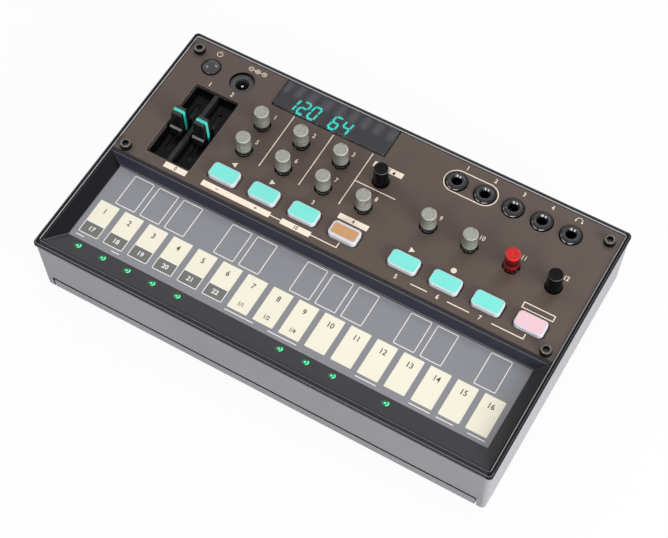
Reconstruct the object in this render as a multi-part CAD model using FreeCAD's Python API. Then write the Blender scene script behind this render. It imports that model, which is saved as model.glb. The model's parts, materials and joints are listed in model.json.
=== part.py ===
import FreeCAD, Part
import math
import os

# Tabletop FM synthesizer, in millimetres.
# Origin: middle of the footprint, on the surface that the rubber feet stand on.
# X runs to the right, Y towards the back edge, Z up.

V = FreeCAD.Vector

# How finely round outlines are stepped; only plug bores are true cylinders, which keeps the facets few
round_sides = 20
knob_sides = 16
post_sides = 10
hex_sides = 6
corner_steps = 3
edge_steps = 2

# Clearances
fit_gap = 0.1
move_gap = 0.3

# Case
case_height = 30.0
foot_height = 3.0
corner_radius = 2.8
rim_corner_radius = 1.8
wall = 2.0
floor_thickness = 2.0
rim_band = 1.5
rim_width = 2.0
rim_round = 0.7
overhang = 0.3
draft_inset = 1.0
bottom_round = 0.6
tongue_thickness = 0.8
tongue_gap = 0.15
lip_height = 3.0
lip_thickness = 1.9
rib_thickness = 1.5
rib_height = 4.0
rib_count = 4

# Panel layout, from the case's left edge to its right edge; the case's width is the sum
left_margin = 46.75
left_pitch = 17.6
left_count = 4
group_gap = 25.3
right_pitch = 17.45
right_count = 4
right_margin = 15.8

# Layout from the front edge to the back edge; the case's depth is the sum
well_front_margin = 3.0
well_length = 47.3
well_bar = 1.4
upper_knob_row = 37.25
window_gap = 10.65
window_depth = 13.2
window_back_gap = 0.2

# Printed front panel
panel_thickness = 1.0
panel_drop = 0.4
ledge_thickness = 1.6
ledge_width = 3.5

# Key well and touch keys
well_depth = 5.0
well_edge_drop = 0.8
well_side_margin = 2.5
well_side_slope = 4.6
well_front_slope = 9.3
well_back_slope = 2.3
well_land = 1.5
well_front_land = 1.3
sheet_thickness = 0.5
board_thickness = 1.6
key_count = 16
key_end_margin = 6.8025
touch_board_reach = 6.8
led_reach = 3.2
led_length = 1.6
led_depth = 0.8
led_height = 0.5

# Main board; chips are (x, distance from the panel's front, width, depth, height)
main_board_top = 21.5
main_board_side_gap = 1.6
main_board_overlap = 0.2
board_rest_radius = 2.0
side_rest_inset = 12.5
side_rest_row = 5.8
back_rest_inset = 9.5
chips = ((10.0, 25.8, 14.0, 14.0, 1.4), (30.0, 27.8, 6.0, 5.0, 1.6), (46.0, 35.8, 7.0, 7.0, 1.2),
         (62.0, 35.8, 5.0, 4.0, 1.4), (-16.0, 35.8, 5.0, 4.0, 1.4))
capacitor_radius = 2.5
capacitor_height = 5.4
capacitor_places = ((70.0, 15.8), (78.0, 15.8), (-80.0, 45.8))

# Rotary controls
knob_shaft_radius = 2.3
knob_base_radius = 3.0
knob_top_radius = 2.85
knob_height = 9.0
knob_lift = 1.4
knob_hole_radius = 3.5
pointer_width = 0.8
pointer_length = 0.8
pointer_depth = 0.6
running_gap = 0.08
pot_width = 9.8
pot_depth = 10.4
pot_height = 6.8
pot_bore_depth = 5.0
lower_knob_row = 23.7
right_knob_row = 28.4

# Push buttons
button_width = 11.9
button_depth = 6.9
button_corner = 1.7
button_rise = 2.0
button_edge = 0.35
button_skin = 1.2
button_row = 9.6
button_hole_gap = 0.3
flange_overlap = 0.9
flange_thickness = 0.8
button_stem = 2.6
button_travel = 0.35
switch_size = 6.0
switch_body = 3.5
switch_total = 7.25
plunger_width = 2.6

# Power button
power_side_inset = 14.6
power_back_inset = 12.2
power_radius = 3.5
power_side_rise = 0.5
power_dome_rise = 1.2
dome_steps = 2

# Slide controls
fader_side_inset = 23.8
fader_spacing = 10.2
fader_slot_row = 5.2
fader_slot_length = 35.8
fader_slot_width = 18.9
fader_bar = 1.9
fader_bar_drop = 0.6
fader_recess = 3.6
fader_tray_floor = 0.8
fader_tray_rim = 1.0
lever_rest = 16.9
lever_travel = 20.0
lever_foot_length = 7.8
lever_foot_width = 5.4
lever_shoulder = 0.9
lever_hip_length = 6.4
lever_hip_height = 1.5
lever_top_length = 4.0
lever_top_width = 4.6
lever_height = 8.5
lever_edge = 0.3
lever_stem_width = 1.2
lever_stem_length = 4.0
lever_stem_depth = 5.0
stem_clearance = 0.4
fader_body_width = 7.0
fader_body_height = 6.4
fader_body_floor = 1.6

# Display
window_lead = 1.85
window_width = 50.1
window_rise = 0.7
window_corner = 1.2
window_edge = 0.3
display_lead = 1.1
display_depth = 10.6
display_inset = 4.0
display_glass_drop = 1.2

# Sockets
jack_side_inset = 20.02
jack_pitch = 12.07
jack_count = 5
socket_back_inset = 11.9
jack_radius = 4.3
jack_rise = 1.35
jack_dome = 1.0
jack_crown_radius = 3.1
jack_bore_radius = 1.8
jack_body_width = 10.4
jack_body_depth = 9.6
plug_hole_radius = 2.3
dc_side_inset = 28.8
dc_back_inset = 12.1
dc_hole_radius = 5.1
dc_recess = 1.9
dc_bore_radius = 2.8
dc_pin_radius = 1.0
dc_pin_recess = 1.1
dc_bore_floor = 1.4
dc_body_width = 10.0
dc_body_depth = 11.0
dc_barrel_height = 4.0

# Fasteners
panel_screw_side_inset = 6.2
panel_screw_back_inset = 7.4
panel_screw_row = 2.6
panel_screw_head_radius = 2.1
panel_screw_head_height = 2.3
panel_screw_edge = 0.3
panel_screw_socket = 1.1
panel_screw_socket_depth = 1.4
panel_screw_radius = 1.2
panel_screw_length = 6.0
boss_radius = 3.2
boss_depth = 7.0
rear_screw_inset = (7.5, 21.5)
front_screw_inset = (8.3, 7.5)
post_radius = 4.0
screw_radius = 1.45
screw_head_radius = 2.7
screw_head_height = 2.0
screw_length = 15.0
screw_clearance = 0.25
head_clearance = 0.3
post_seat = 9.0
front_boss_bottom = 22.0
front_boss_height = 9.0

# Battery bay, cells and sliding cover
cell_radius = 7.15
cell_length = 49.5
nub_radius = 2.7
nub_length = 1.0
cells_per_row = 3
cell_row_pitch = 14.8
bay_front_inset = 4.5
contact_room = 2.6
bay_wall = 1.5
bay_roof = 1.6
cover_thickness = 1.8
cover_lip_height = 3.8
cover_lip_inset = 5.1
runner_reach = 0.8
runner_thickness = 0.9
groove_floor = 0.6
grip_ridges = 5
grip_length = 24.0
grip_width = 1.0
grip_depth = 0.5
grip_pitch = 2.0
grip_x = 48.0
contact_thickness = 0.4
contact_width = 8.0
contact_tab = 1.0
pillar_radius = 2.0
pillar_count = 4
pillar_side_inset = 9.35
pillar_front_inset = 7.0
pillar_back_inset = 4.7

# Speaker
speaker_side_inset = 46.5
speaker_row = 27.8
speaker_radius = 18.0
speaker_rim = 2.5
speaker_rim_thickness = 1.0
speaker_height = 9.0
basket_height = 4.5
basket_wall = 0.8
magnet_radius = 9.0
cone_thickness = 0.5
cone_depth = 3.0
voice_coil_radius = 4.5
grille_slot_width = 2.0
grille_slot_pitch = 4.4
grille_slots = 7

# Feet
foot_radius = 4.5
foot_recess = 0.5
foot_edge = 0.5
rear_foot_inset = (15.5, 11.5)
front_foot_inset = (10.9, 14.9)

# Leads
ribbon_x = 20.0
ribbon_width = 16.0
ribbon_thickness = 0.3
ribbon_bend = 1.0
ribbon_lap = 7.5
ribbon_tail = 6.0
lead_width = 1.0
lead_thickness = 0.8
lead_bend = 1.2
lead_rise = 3.0
lead_run = 12.0
lead_jog = 2.0
lead_lap = 4.0

# Levels worked out from the sizes above
case_bottom = foot_height
floor_top = case_bottom + floor_thickness
rim_top = case_bottom + case_height
split = rim_top - rim_band
panel_top = rim_top - panel_drop
panel_bottom = panel_top - panel_thickness
ledge_bottom = panel_bottom - ledge_thickness
lip_bottom = split - lip_height
key_top = rim_top - well_depth
well_edge = rim_top - well_edge_drop
sheet_bottom = key_top - sheet_thickness
touch_board_bottom = sheet_bottom - board_thickness
main_board_bottom = main_board_top - board_thickness
pot_top = main_board_top + pot_height
stem_bottom = pot_top - pot_bore_depth + move_gap
knob_top = panel_top + knob_height
flange_top = panel_bottom - move_gap
flange_bottom = flange_top - flange_thickness
button_stem_bottom = main_board_top + switch_total + button_travel + fit_gap
tray_top = panel_top - fader_recess
seat = case_bottom + post_seat
screw_tip = seat + screw_length
cover_top = case_bottom + cover_thickness

# Places worked out from the sizes above, across the case
case_width = (left_margin + left_pitch * (left_count - 1) + group_gap
              + right_pitch * (right_count - 1) + right_margin)
half_width = case_width / 2
pocket_half_width = half_width - rim_width
well_half_width = half_width - well_side_margin
key_area_half_width = well_half_width - well_side_slope
sheet_half_width = key_area_half_width + well_land
left_columns = [left_margin - half_width + left_pitch * i for i in range(left_count)]
right_columns = [half_width - right_margin - right_pitch * i for i in reversed(range(right_count))]
key_span = 2 * (key_area_half_width - key_end_margin)
key_xs = [key_span * (i / (key_count - 1) - 0.5) for i in range(key_count)]
jack_xs = [half_width - jack_side_inset - jack_pitch * i for i in reversed(range(jack_count))]
power_x = power_side_inset - half_width
dc_x = dc_side_inset - half_width
fader_x = fader_side_inset - half_width
fader_xs = [fader_x - fader_spacing / 2, fader_x + fader_spacing / 2]
window_left = left_columns[0] - window_lead
window_right = window_left + window_width
speaker_x = speaker_side_inset - half_width
cover_lip_half_width = half_width - cover_lip_inset

# Places worked out from the sizes above, front to back
case_depth = (well_front_margin + well_length + well_bar + upper_knob_row + window_gap
              + window_depth + window_back_gap + rim_width)
half_depth = case_depth / 2
pocket_back = half_depth - rim_width
well_front = well_front_margin - half_depth
well_back = well_front + well_length
panel_front = well_back + well_bar
key_area_front = well_front + well_front_slope
key_area_back = well_back - well_back_slope
sheet_front = key_area_front - well_front_land
sheet_back = key_area_back + well_land
touch_board_front = key_area_front - touch_board_reach
led_y = key_area_front - led_reach
main_board_front = panel_front - main_board_overlap
upper_knob_y = panel_front + upper_knob_row
lower_knob_y = panel_front + lower_knob_row
right_knob_y = panel_front + right_knob_row
button_y = panel_front + button_row
window_front = upper_knob_y + window_gap
window_back = window_front + window_depth
display_front = window_front - display_lead
power_y = half_depth - power_back_inset
dc_y = half_depth - dc_back_inset
socket_y = half_depth - socket_back_inset
fader_slot_front = panel_front + fader_slot_row
fader_mid_y = fader_slot_front + fader_slot_length / 2
lever_rest_y = fader_slot_front + lever_rest
speaker_y = panel_front + speaker_row

# Places of the battery bay, the screws and the feet
inner_inset = overhang + draft_inset + wall
lip_inset = overhang + tongue_thickness + tongue_gap
lip_inner = lip_inset + lip_thickness
cell_z = cover_top + move_gap + cell_radius
cell_full_length = cell_length + nub_length
bay_front = bay_front_inset - half_depth
cell_rows = [bay_front + move_gap + cell_radius + cell_row_pitch * row for row in range(2)]
bay_half_width = cells_per_row * cell_full_length / 2 + contact_room
bay_back = cell_rows[-1] + cell_radius + move_gap
bay_roof_bottom = cell_z + cell_radius + move_gap
bay_roof_top = bay_roof_bottom + bay_roof
pillar_span = 2 * (bay_half_width - pillar_side_inset)
pillar_xs = [pillar_span * (i / (pillar_count - 1) - 0.5) for i in range(pillar_count)]
pillar_ys = [bay_front + pillar_front_inset, bay_back - pillar_back_inset]
cover_lip_back = inner_inset - half_depth
rear_screw = (half_width - rear_screw_inset[0], half_depth - rear_screw_inset[1])
front_screw = (half_width - front_screw_inset[0], front_screw_inset[1] - half_depth)
rear_foot = (half_width - rear_foot_inset[0], half_depth - rear_foot_inset[1])
front_foot = (half_width - front_foot_inset[0], front_foot_inset[1] - half_depth)

# How far cutting shapes run past what they cut
over = 1.0


# Shapes that the pieces are made of
def box(x0, x1, y0, y1, z0, z1):
    return Part.makeBox(x1 - x0, y1 - y0, z1 - z0, V(x0, y0, z0))


def side_box(side, near, far, y0, y1, z0, z1):
    """Box on the left or right, from its distance to the middle plane."""
    return box(min(side * near, side * far), max(side * near, side * far), y0, y1, z0, z1)


def block(x, y, width, depth, z0, z1):
    return box(x - width / 2, x + width / 2, y - depth / 2, y + depth / 2, z0, z1)


def rectangle(x0, x1, y0, y1, z):
    return [V(x0, y0, z), V(x1, y0, z), V(x1, y1, z), V(x0, y1, z)]


def centred(x, y, width, depth, z):
    return rectangle(x - width / 2, x + width / 2, y - depth / 2, y + depth / 2, z)


def rounded(x0, x1, y0, y1, z, radius):
    """Corners of a rectangle with rounded ends, stepped round each quarter."""
    points = []
    centres = ((x1 - radius, y1 - radius), (x0 + radius, y1 - radius),
               (x0 + radius, y0 + radius), (x1 - radius, y0 + radius))
    for quarter, (cx, cy) in enumerate(centres):
        for step in range(corner_steps + 1):
            angle = math.pi / 2 * (quarter + step / corner_steps)
            points.append(V(cx + radius * math.cos(angle), cy + radius * math.sin(angle), z))
    return points


def ring(x, y, z, radius, sides):
    turn = 2 * math.pi / sides
    return [V(x + radius * math.cos(turn * i), y + radius * math.sin(turn * i), z) for i in range(sides)]


def clearing(radius, sides):
    """Corner radius of a many-sided hole whose flats just touch a round of this radius."""
    return radius / math.cos(math.pi / sides)


def flat_face(points):
    return Part.Face(Part.makePolygon(points + points[:1]))


def stacked(outlines):
    """Solid with flat sides through outlines of equal length, from the lowest to the highest."""
    faces = [flat_face(outlines[0]), flat_face(outlines[-1])]
    for low, high in zip(outlines, outlines[1:]):
        for i in range(len(low)):
            faces.append(flat_face([low[i - 1], low[i], high[i], high[i - 1]]))
    return Part.makeSolid(Part.makeShell(faces))


def drum(x, y, profile, sides=round_sides):
    """Round piece through (radius, height) pairs, lowest first."""
    return stacked([ring(x, y, z, radius, sides) for radius, z in profile])


def post(x, y, z0, z1, radius):
    return drum(x, y, [(radius, z0), (radius, z1)], post_sides)


def group(shapes):
    return Part.makeCompound(shapes)


def fused(shapes):
    return shapes[0].multiFuse(shapes[1:]).removeSplitter()


def quarter_round(radius, steps):
    """How far a rounded edge draws in, and how far it still is from the end face, step by step."""
    angles = [math.pi / 2 * step / steps for step in range(steps + 1)]
    return [(radius * (1 - math.cos(a)), radius * (1 - math.sin(a))) for a in angles]


def case_outline(inset, z, corner=corner_radius):
    radius = max(corner - inset, fit_gap)
    x = half_width - inset
    y = half_depth - inset
    return rounded(-x, x, -y, y, z, radius)


def case_block(inset, z0, z1):
    return stacked([case_outline(inset, z0), case_outline(inset, z1)])


def bent_path(points, radius):
    """Straight runs joined by tangent arcs of one radius."""
    edges = []
    start = points[0]
    for before, corner, after in zip(points, points[1:], points[2:]):
        into = (corner - before).normalize()
        out = (after - corner).normalize()
        turn = into.getAngle(out)
        reach = radius * math.tan(turn / 2)
        bulge = radius / math.cos(turn / 2) - radius
        middle = corner + (out - into).normalize() * bulge
        edges.append(Part.LineSegment(start, corner - into * reach).toShape())
        edges.append(Part.Arc(corner - into * reach, middle, corner + out * reach).toShape())
        start = corner + out * reach
    edges.append(Part.LineSegment(start, points[-1]).toShape())
    return Part.Wire(edges)


def flat_lead(points, radius, across, through):
    """Flat conductor along a path; across and through are half sizes of its section, as vectors."""
    start = points[0]
    section = Part.makePolygon([start - across - through, start + across - through, start + across + through,
                                start - across + through, start - across - through])
    return bent_path(points, radius).makePipeShell([section], True, False)


# Where the repeated pieces stand
def mirrored(place):
    x, y = place
    return [(-x, y), (x, y)]


def knob_sites():
    upper = [(x, upper_knob_y) for x in left_columns]
    lower = [(x, lower_knob_y) for x in left_columns]
    right = [(x, right_knob_y) for x in right_columns]
    return upper + lower + right


def button_columns():
    return left_columns + right_columns


def panel_screw_sites():
    x = half_width - panel_screw_side_inset
    return mirrored((x, half_depth - panel_screw_back_inset)) + mirrored((x, panel_front + panel_screw_row))


def case_screw_sites():
    return mirrored(rear_screw) + mirrored(front_screw)


def board_rest_sites():
    sides = mirrored((half_width - side_rest_inset, panel_front + side_rest_row))
    return sides + [(0, half_depth - back_rest_inset)]


def foot_sites():
    return mirrored(rear_foot) + mirrored(front_foot)


# Upper case: rim, inner lip, panel ledge, screw bosses and the sloped key well
def well_outline(side, front, z):
    """Key well at the rim's level or at the keys' level, grown by side and front."""
    if z >= well_edge:
        x = well_half_width + side
        return rectangle(-x, x, well_front - front, well_back + side, z)
    x = key_area_half_width + side
    return rectangle(-x, x, key_area_front - front, key_area_back + side, z)


def key_well_walls():
    slopes = stacked([well_outline(well_land, well_front_land, key_top),
                      well_outline(well_land, well_land, well_edge)])
    return slopes.common(case_block(lip_inset, key_top, split))


def key_well_hollow():
    slopes = stacked([well_outline(0, 0, key_top), well_outline(0, 0, well_edge)])
    mouth = box(-well_half_width, well_half_width, well_front, well_back, well_edge, rim_top + over)
    return slopes.fuse(mouth)


def rim():
    levels = [case_outline(0, split, rim_corner_radius)]
    levels += [case_outline(inset, rim_top - drop, rim_corner_radius)
               for inset, drop in quarter_round(rim_round, edge_steps)]
    return stacked(levels)


def inner_lip():
    outer = case_block(lip_inset, lip_bottom, panel_bottom)
    return outer.cut(case_block(lip_inner, lip_bottom - over, rim_top))


def panel_pocket(inset, z0, z1):
    """Room for the front panel, drawn in by inset."""
    x = pocket_half_width + fit_gap - inset
    return box(-x, x, panel_front - fit_gap + inset, pocket_back + fit_gap - inset, z0, z1)


def panel_ledge():
    x = pocket_half_width + fit_gap
    outer = box(-x, x, well_back, pocket_back + fit_gap, ledge_bottom, panel_bottom)
    return outer.cut(panel_pocket(ledge_width, ledge_bottom - over, rim_top))


def rear_boss(side):
    """Boss that clamps the main board, tied to the lip by a rib."""
    x, y = rear_screw
    rib = side_box(side, x, half_width - lip_inner, y - rib_thickness / 2, y + rib_thickness / 2,
                   lip_bottom, ledge_bottom)
    return [post(side * x, y, main_board_top, ledge_bottom + over, post_radius), rib]


def upper_case():
    frame = [inner_lip(), panel_ledge(), key_well_walls()]
    frame += [post(x, y, panel_bottom - boss_depth, panel_bottom, boss_radius) for x, y in panel_screw_sites()]
    frame += [post(x, y, front_boss_bottom, front_boss_bottom + front_boss_height, boss_radius)
              for x, y in mirrored(front_screw)]
    frame += rear_boss(-1) + rear_boss(1)
    inside = fused(frame).common(case_block(lip_inset, main_board_bottom, rim_top))
    open_rim = rim().cut(panel_pocket(ledge_width, split - over, rim_top + over))
    body = fused([open_rim, inside]).cut(panel_pocket(0, panel_bottom, rim_top + over))
    pilots = [post(x, y, panel_top - panel_screw_length - move_gap, rim_top, panel_screw_radius + fit_gap)
              for x, y in panel_screw_sites()]
    pilots += [post(x, y, main_board_bottom, screw_tip + move_gap, screw_radius + fit_gap)
               for x, y in case_screw_sites()]
    return body.cut(key_well_hollow()).cut(pilots)


# Lower case: drafted shell with posts, battery bay, speaker grille and foot recesses
def outer_form():
    def inset_at(z):
        return overhang + draft_inset * (split - z) / (split - case_bottom)
    levels = []
    for inset, rise in reversed(quarter_round(bottom_round, edge_steps)):
        z = case_bottom + rise
        levels.append(case_outline(inset_at(z) + inset, z))
    return stacked(levels + [case_outline(overhang, split)])


def lower_shell():
    inside = stacked([case_outline(inner_inset, floor_top), case_outline(overhang + wall, split)])
    rebate = case_block(overhang + tongue_thickness, lip_bottom - move_gap, split + over)
    return outer_form().cut(inside).cut(rebate)


def cover_room():
    """Space in the lower case that the battery cover fills, with its working gaps."""
    lip_x = cover_lip_half_width + move_gap
    groove_x = bay_half_width + runner_reach
    plate = box(-bay_half_width, bay_half_width, -half_depth, bay_back, case_bottom - over, floor_top)
    lip = box(-lip_x, lip_x, -half_depth, cover_lip_back + move_gap, case_bottom - over,
              case_bottom + cover_lip_height + move_gap)
    groove = box(-groove_x, groove_x, -half_depth, bay_back, case_bottom + groove_floor, floor_top + fit_gap)
    return [plate, lip, groove]


def battery_bay():
    x = bay_half_width + bay_wall
    outer = box(-x, x, bay_front - bay_wall, bay_back + bay_wall, floor_top, bay_roof_top)
    inner = box(-bay_half_width, bay_half_width, bay_front, bay_back, case_bottom, bay_roof_bottom)
    slots = [side_box(-1, bay_half_width, bay_half_width - contact_thickness - move_gap,
                      y - contact_width / 2 - move_gap, y + contact_width / 2 + move_gap,
                      bay_roof_bottom - over, bay_roof_top + over) for y in cell_rows]
    return outer.cut([inner] + slots)


def lip_backing(side):
    """Wall behind the cover's lip, outboard of the bay."""
    return side_box(side, bay_half_width + runner_reach + fit_gap, half_width - inner_inset + fit_gap,
                    bay_front - bay_wall, cover_lip_back + move_gap + rib_thickness,
                    case_bottom, case_bottom + 2 * cover_lip_height)


def floor_ribs():
    """Low ribs across the floor between the battery bay and the back wall."""
    back = half_depth - inner_inset
    first = speaker_x + speaker_radius + 2 * wall
    spacing = (half_width - first) / rib_count
    xs = [first + spacing * i for i in range(rib_count)]
    return [box(x, x + rib_thickness, bay_back + bay_wall, back, floor_top, floor_top + rib_height) for x in xs]


def speaker_seat():
    outer = speaker_radius + rib_thickness
    inner = speaker_radius + fit_gap
    wall_ring = drum(speaker_x, speaker_y, [(outer, floor_top), (outer, floor_top + rib_height)])
    return wall_ring.cut(drum(speaker_x, speaker_y, [(inner, case_bottom), (inner, rim_top)]))


def grille():
    slots = []
    usable = speaker_radius - speaker_rim - grille_slot_width / 2
    for i in range(grille_slots):
        offset = grille_slot_pitch * (i - (grille_slots - 1) / 2)
        half = math.sqrt(usable ** 2 - offset ** 2)
        slots.append(block(speaker_x, speaker_y + offset, 2 * half, grille_slot_width,
                           case_bottom - over, floor_top + over))
    return slots


def foot_recesses():
    radius = foot_radius + fit_gap
    return [post(x, y, case_bottom - over, case_bottom + foot_recess, clearing(radius, post_sides))
            for x, y in foot_sites()]


def lower_case():
    root = case_bottom + over
    pieces = [lower_shell(), battery_bay(), speaker_seat(), lip_backing(-1), lip_backing(1)]
    pieces += [post(x, y, root, main_board_bottom, post_radius) for x, y in mirrored(rear_screw)]
    pieces += [post(x, y, root, front_boss_bottom, post_radius) for x, y in mirrored(front_screw)]
    pieces += [post(x, y, bay_roof_bottom + over, touch_board_bottom, pillar_radius)
               for x in pillar_xs for y in pillar_ys]
    pieces += [post(x, y, root, main_board_bottom, board_rest_radius) for x, y in board_rest_sites()]
    pieces += floor_ribs()
    heads = [post(x, y, case_bottom - over, seat, screw_head_radius + head_clearance)
             for x, y in case_screw_sites()]
    shanks = [post(x, y, seat - over, front_boss_bottom + over, screw_radius + screw_clearance)
              for x, y in case_screw_sites()]
    body = fused(pieces).cut(cover_room()).cut(grille())
    return body.cut(heads + foot_recesses()).cut(shanks)


def battery_cover():
    """Plate, front lip and two runners that slide in the lower case's grooves."""
    x = bay_half_width - move_gap
    back = bay_back - move_gap
    plate = box(-x, x, -half_depth, back, case_bottom, cover_top)
    lip_x = cover_lip_half_width
    lip = box(-lip_x, lip_x, -half_depth, cover_lip_back, case_bottom, case_bottom + cover_lip_height)
    reach = bay_half_width + runner_reach - move_gap
    runner = box(-reach, reach, cover_lip_back - over, back, cover_top - runner_thickness, cover_top)
    grips = [block(side * grip_x, cover_lip_back + 3 * wall + i * grip_pitch, grip_length, grip_width,
                   case_bottom - over, case_bottom + grip_depth) for i in range(grip_ridges) for side in (-1, 1)]
    return fused([plate, lip, runner]).common(outer_form()).cut(grips)


# Front panel with every control's opening
def front_panel():
    low = panel_bottom - over
    high = panel_top + over

    def round_hole(x, y, radius):
        return drum(x, y, [(radius, low), (radius, high)])
    plate = box(-pocket_half_width, pocket_half_width, panel_front, pocket_back, panel_bottom, panel_top)
    holes = [round_hole(x, y, knob_hole_radius) for x, y in knob_sites()]
    holes += [round_hole(x, socket_y, jack_radius + move_gap) for x in jack_xs]
    holes += [round_hole(power_x, power_y, power_radius + button_hole_gap), round_hole(dc_x, dc_y, dc_hole_radius)]
    holes += [post(x, y, low, high, panel_screw_radius + screw_clearance) for x, y in panel_screw_sites()]
    holes += [block(x, button_y, button_width + 2 * button_hole_gap, button_depth + 2 * button_hole_gap, low, high)
              for x in button_columns()]
    holes.append(block(fader_x, fader_mid_y, fader_slot_width, fader_slot_length, low, high))
    holes.append(box(window_left - fit_gap, window_right + fit_gap, window_front - fit_gap, pocket_back + over,
                     low, high))
    return plate.cut(holes)


# Rotary controls: each knob is its potentiometer's own long stem, with a pointer notch in its rim
def knob(x, y):
    cap_bottom = panel_top + knob_lift
    stem = drum(x, y, [(knob_shaft_radius, stem_bottom), (knob_shaft_radius, cap_bottom),
                       (knob_base_radius, cap_bottom), (knob_top_radius, knob_top)], knob_sides)
    notch = box(x - pointer_width / 2, x + pointer_width / 2, y + knob_top_radius - pointer_length,
                y + knob_base_radius + over, knob_top - pointer_depth, knob_top + over)
    return stem.cut(notch)


def potentiometer(x, y):
    body = block(x, y, pot_width, pot_depth, main_board_top, pot_top)
    bore = clearing(knob_shaft_radius + running_gap, post_sides)
    return body.cut(post(x, y, pot_top - pot_bore_depth, pot_top + over, bore))


# Push buttons
def button(x):
    top = panel_top + button_rise
    w = button_width / 2
    d = button_depth / 2
    f = flange_overlap
    s = button_skin
    e = button_edge

    def outline(grow, z):
        return rounded(x - w - grow, x + w + grow, button_y - d - grow, button_y + d + grow, z,
                       button_corner + grow)
    cap = stacked([outline(0, flange_bottom), outline(0, top - e), outline(-e, top)])
    flange = box(x - w - f, x + w + f, button_y - d - f, button_y + d + f, flange_bottom, flange_top)
    hollow = box(x - w + s, x + w - s, button_y - d + s, button_y + d - s, flange_bottom - over, top - s)
    stem = block(x, button_y, button_stem, button_stem, button_stem_bottom, top - s)
    return fused([cap.fuse(flange).cut(hollow), stem])


def power_button():
    side_top = panel_top + power_side_rise
    sphere = (power_radius ** 2 + power_dome_rise ** 2) / (2 * power_dome_rise)
    centre = side_top + power_dome_rise - sphere
    levels = [(power_radius, flange_top), (power_radius, side_top)]
    for step in range(1, dome_steps + 1):
        radius = power_radius * (1 - step / (dome_steps + 1))
        levels.append((radius, centre + math.sqrt(sphere ** 2 - radius ** 2)))
    flange_radius = power_radius + flange_overlap
    flange = drum(power_x, power_y, [(flange_radius, flange_bottom), (flange_radius, flange_top)])
    stem = block(power_x, power_y, button_stem, button_stem, button_stem_bottom, flange_bottom)
    return fused([drum(power_x, power_y, levels), flange, stem])


def tact_switch(x, y):
    body = block(x, y, switch_size, switch_size, main_board_top, main_board_top + switch_body)
    return body.fuse(block(x, y, plunger_width, plunger_width, main_board_top + over, main_board_top + switch_total))


def switch_sites():
    return [(x, button_y) for x in button_columns()] + [(power_x, power_y)]


# Slide controls
def stem_slot(x, z0, z1):
    return block(x, fader_mid_y, lever_stem_width + 2 * stem_clearance,
                 lever_travel + lever_stem_length + 2 * stem_clearance, z0, z1)


def fader_tray():
    """Trough under the panel's opening, with a bar between the two runs."""
    low = tray_top - fader_tray_floor
    length = fader_slot_length
    rim_size = 2 * fader_tray_rim
    outer = block(fader_x, fader_mid_y, fader_slot_width + rim_size, length + rim_size, low, panel_bottom)
    trough = block(fader_x, fader_mid_y, fader_slot_width, length, tray_top, panel_bottom + over)
    bar = block(fader_x, fader_mid_y, fader_bar, length, low, panel_top - fader_bar_drop)
    slots = [stem_slot(x, low - over, tray_top + over) for x in fader_xs]
    return fused([outer.cut(trough), bar]).cut(slots)


def fader_lever(x):
    y = lever_rest_y
    foot = tray_top + move_gap
    top = panel_top + lever_height
    e = lever_edge
    blade = stacked([
        centred(x, y, lever_foot_width, lever_foot_length, foot),
        centred(x, y, lever_foot_width, lever_foot_length, panel_top + lever_shoulder),
        centred(x, y, lever_foot_width, lever_hip_length, panel_top + lever_hip_height),
        centred(x, y, lever_top_width, lever_top_length + e, top - e),
        centred(x, y, lever_top_width - 2 * e, lever_top_length - e, top),
    ])
    return fused([blade, block(x, y, lever_stem_width, lever_stem_length, foot - lever_stem_depth, foot)])


def fader_body(x):
    top = main_board_top + fader_body_height
    body = block(x, fader_mid_y, fader_body_width, fader_slot_length, main_board_top, top)
    return body.cut(stem_slot(x, main_board_top + fader_body_floor, top + over))


# Display
def display_window():
    top = panel_top + window_rise
    e = window_edge

    def outline(inset, z):
        return rounded(window_left + inset, window_right - inset, window_front + inset, window_back - inset,
                       z, window_corner - inset)
    return stacked([outline(0, panel_bottom), outline(0, top - e), outline(e, top)])


def display_module():
    left = window_left + display_inset
    right = window_right - display_inset
    back = display_front + display_depth
    can = box(left, right, display_front, back, main_board_top, panel_bottom)
    recess = box(left + wall, right - wall, display_front + wall, back - wall,
                 panel_bottom - display_glass_drop, panel_bottom + over)
    return can.cut(recess)


# Sockets
def audio_jack(x):
    low = panel_bottom - move_gap
    top = panel_top + jack_rise
    collar = drum(x, socket_y, [(jack_radius, low), (jack_radius, top - jack_dome), (jack_crown_radius, top)])
    body = block(x, socket_y, jack_body_width, jack_body_depth, main_board_top, low)
    bore = Part.makeCylinder(jack_bore_radius, top - main_board_top + 2 * over, V(x, socket_y, main_board_top - over))
    return fused([collar, body]).cut(bore)


def dc_jack():
    top = panel_top - dc_recess
    floor_z = main_board_top + dc_bore_floor
    barrel_radius = dc_hole_radius - fit_gap
    barrel = drum(dc_x, dc_y, [(barrel_radius, main_board_top), (barrel_radius, top)])
    body = block(dc_x, dc_y, dc_body_width, dc_body_depth, main_board_top, top - dc_barrel_height)
    bore = Part.makeCylinder(dc_bore_radius, top - floor_z + over, V(dc_x, dc_y, floor_z))
    pin = post(dc_x, dc_y, floor_z, top - dc_pin_recess, dc_pin_radius)
    return group([fused([barrel, body]).cut(bore), pin])


# Boards and what is soldered to them
def key_sheet():
    return box(-sheet_half_width, sheet_half_width, sheet_front, sheet_back, sheet_bottom, key_top)


def touch_board():
    """Carries the touch keys' pads and the lights; its front corners clear the case's bosses."""
    board = box(-sheet_half_width, sheet_half_width, touch_board_front, sheet_back, touch_board_bottom, sheet_bottom)
    x, y = front_screw
    clear = boss_radius + move_gap
    return board.cut([side_box(side, x - clear, half_width, touch_board_front - over, y + clear,
                               touch_board_bottom - over, key_top) for side in (-1, 1)])


def key_led(x):
    return block(x, led_y, led_length, led_depth, sheet_bottom, sheet_bottom + led_height)


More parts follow.
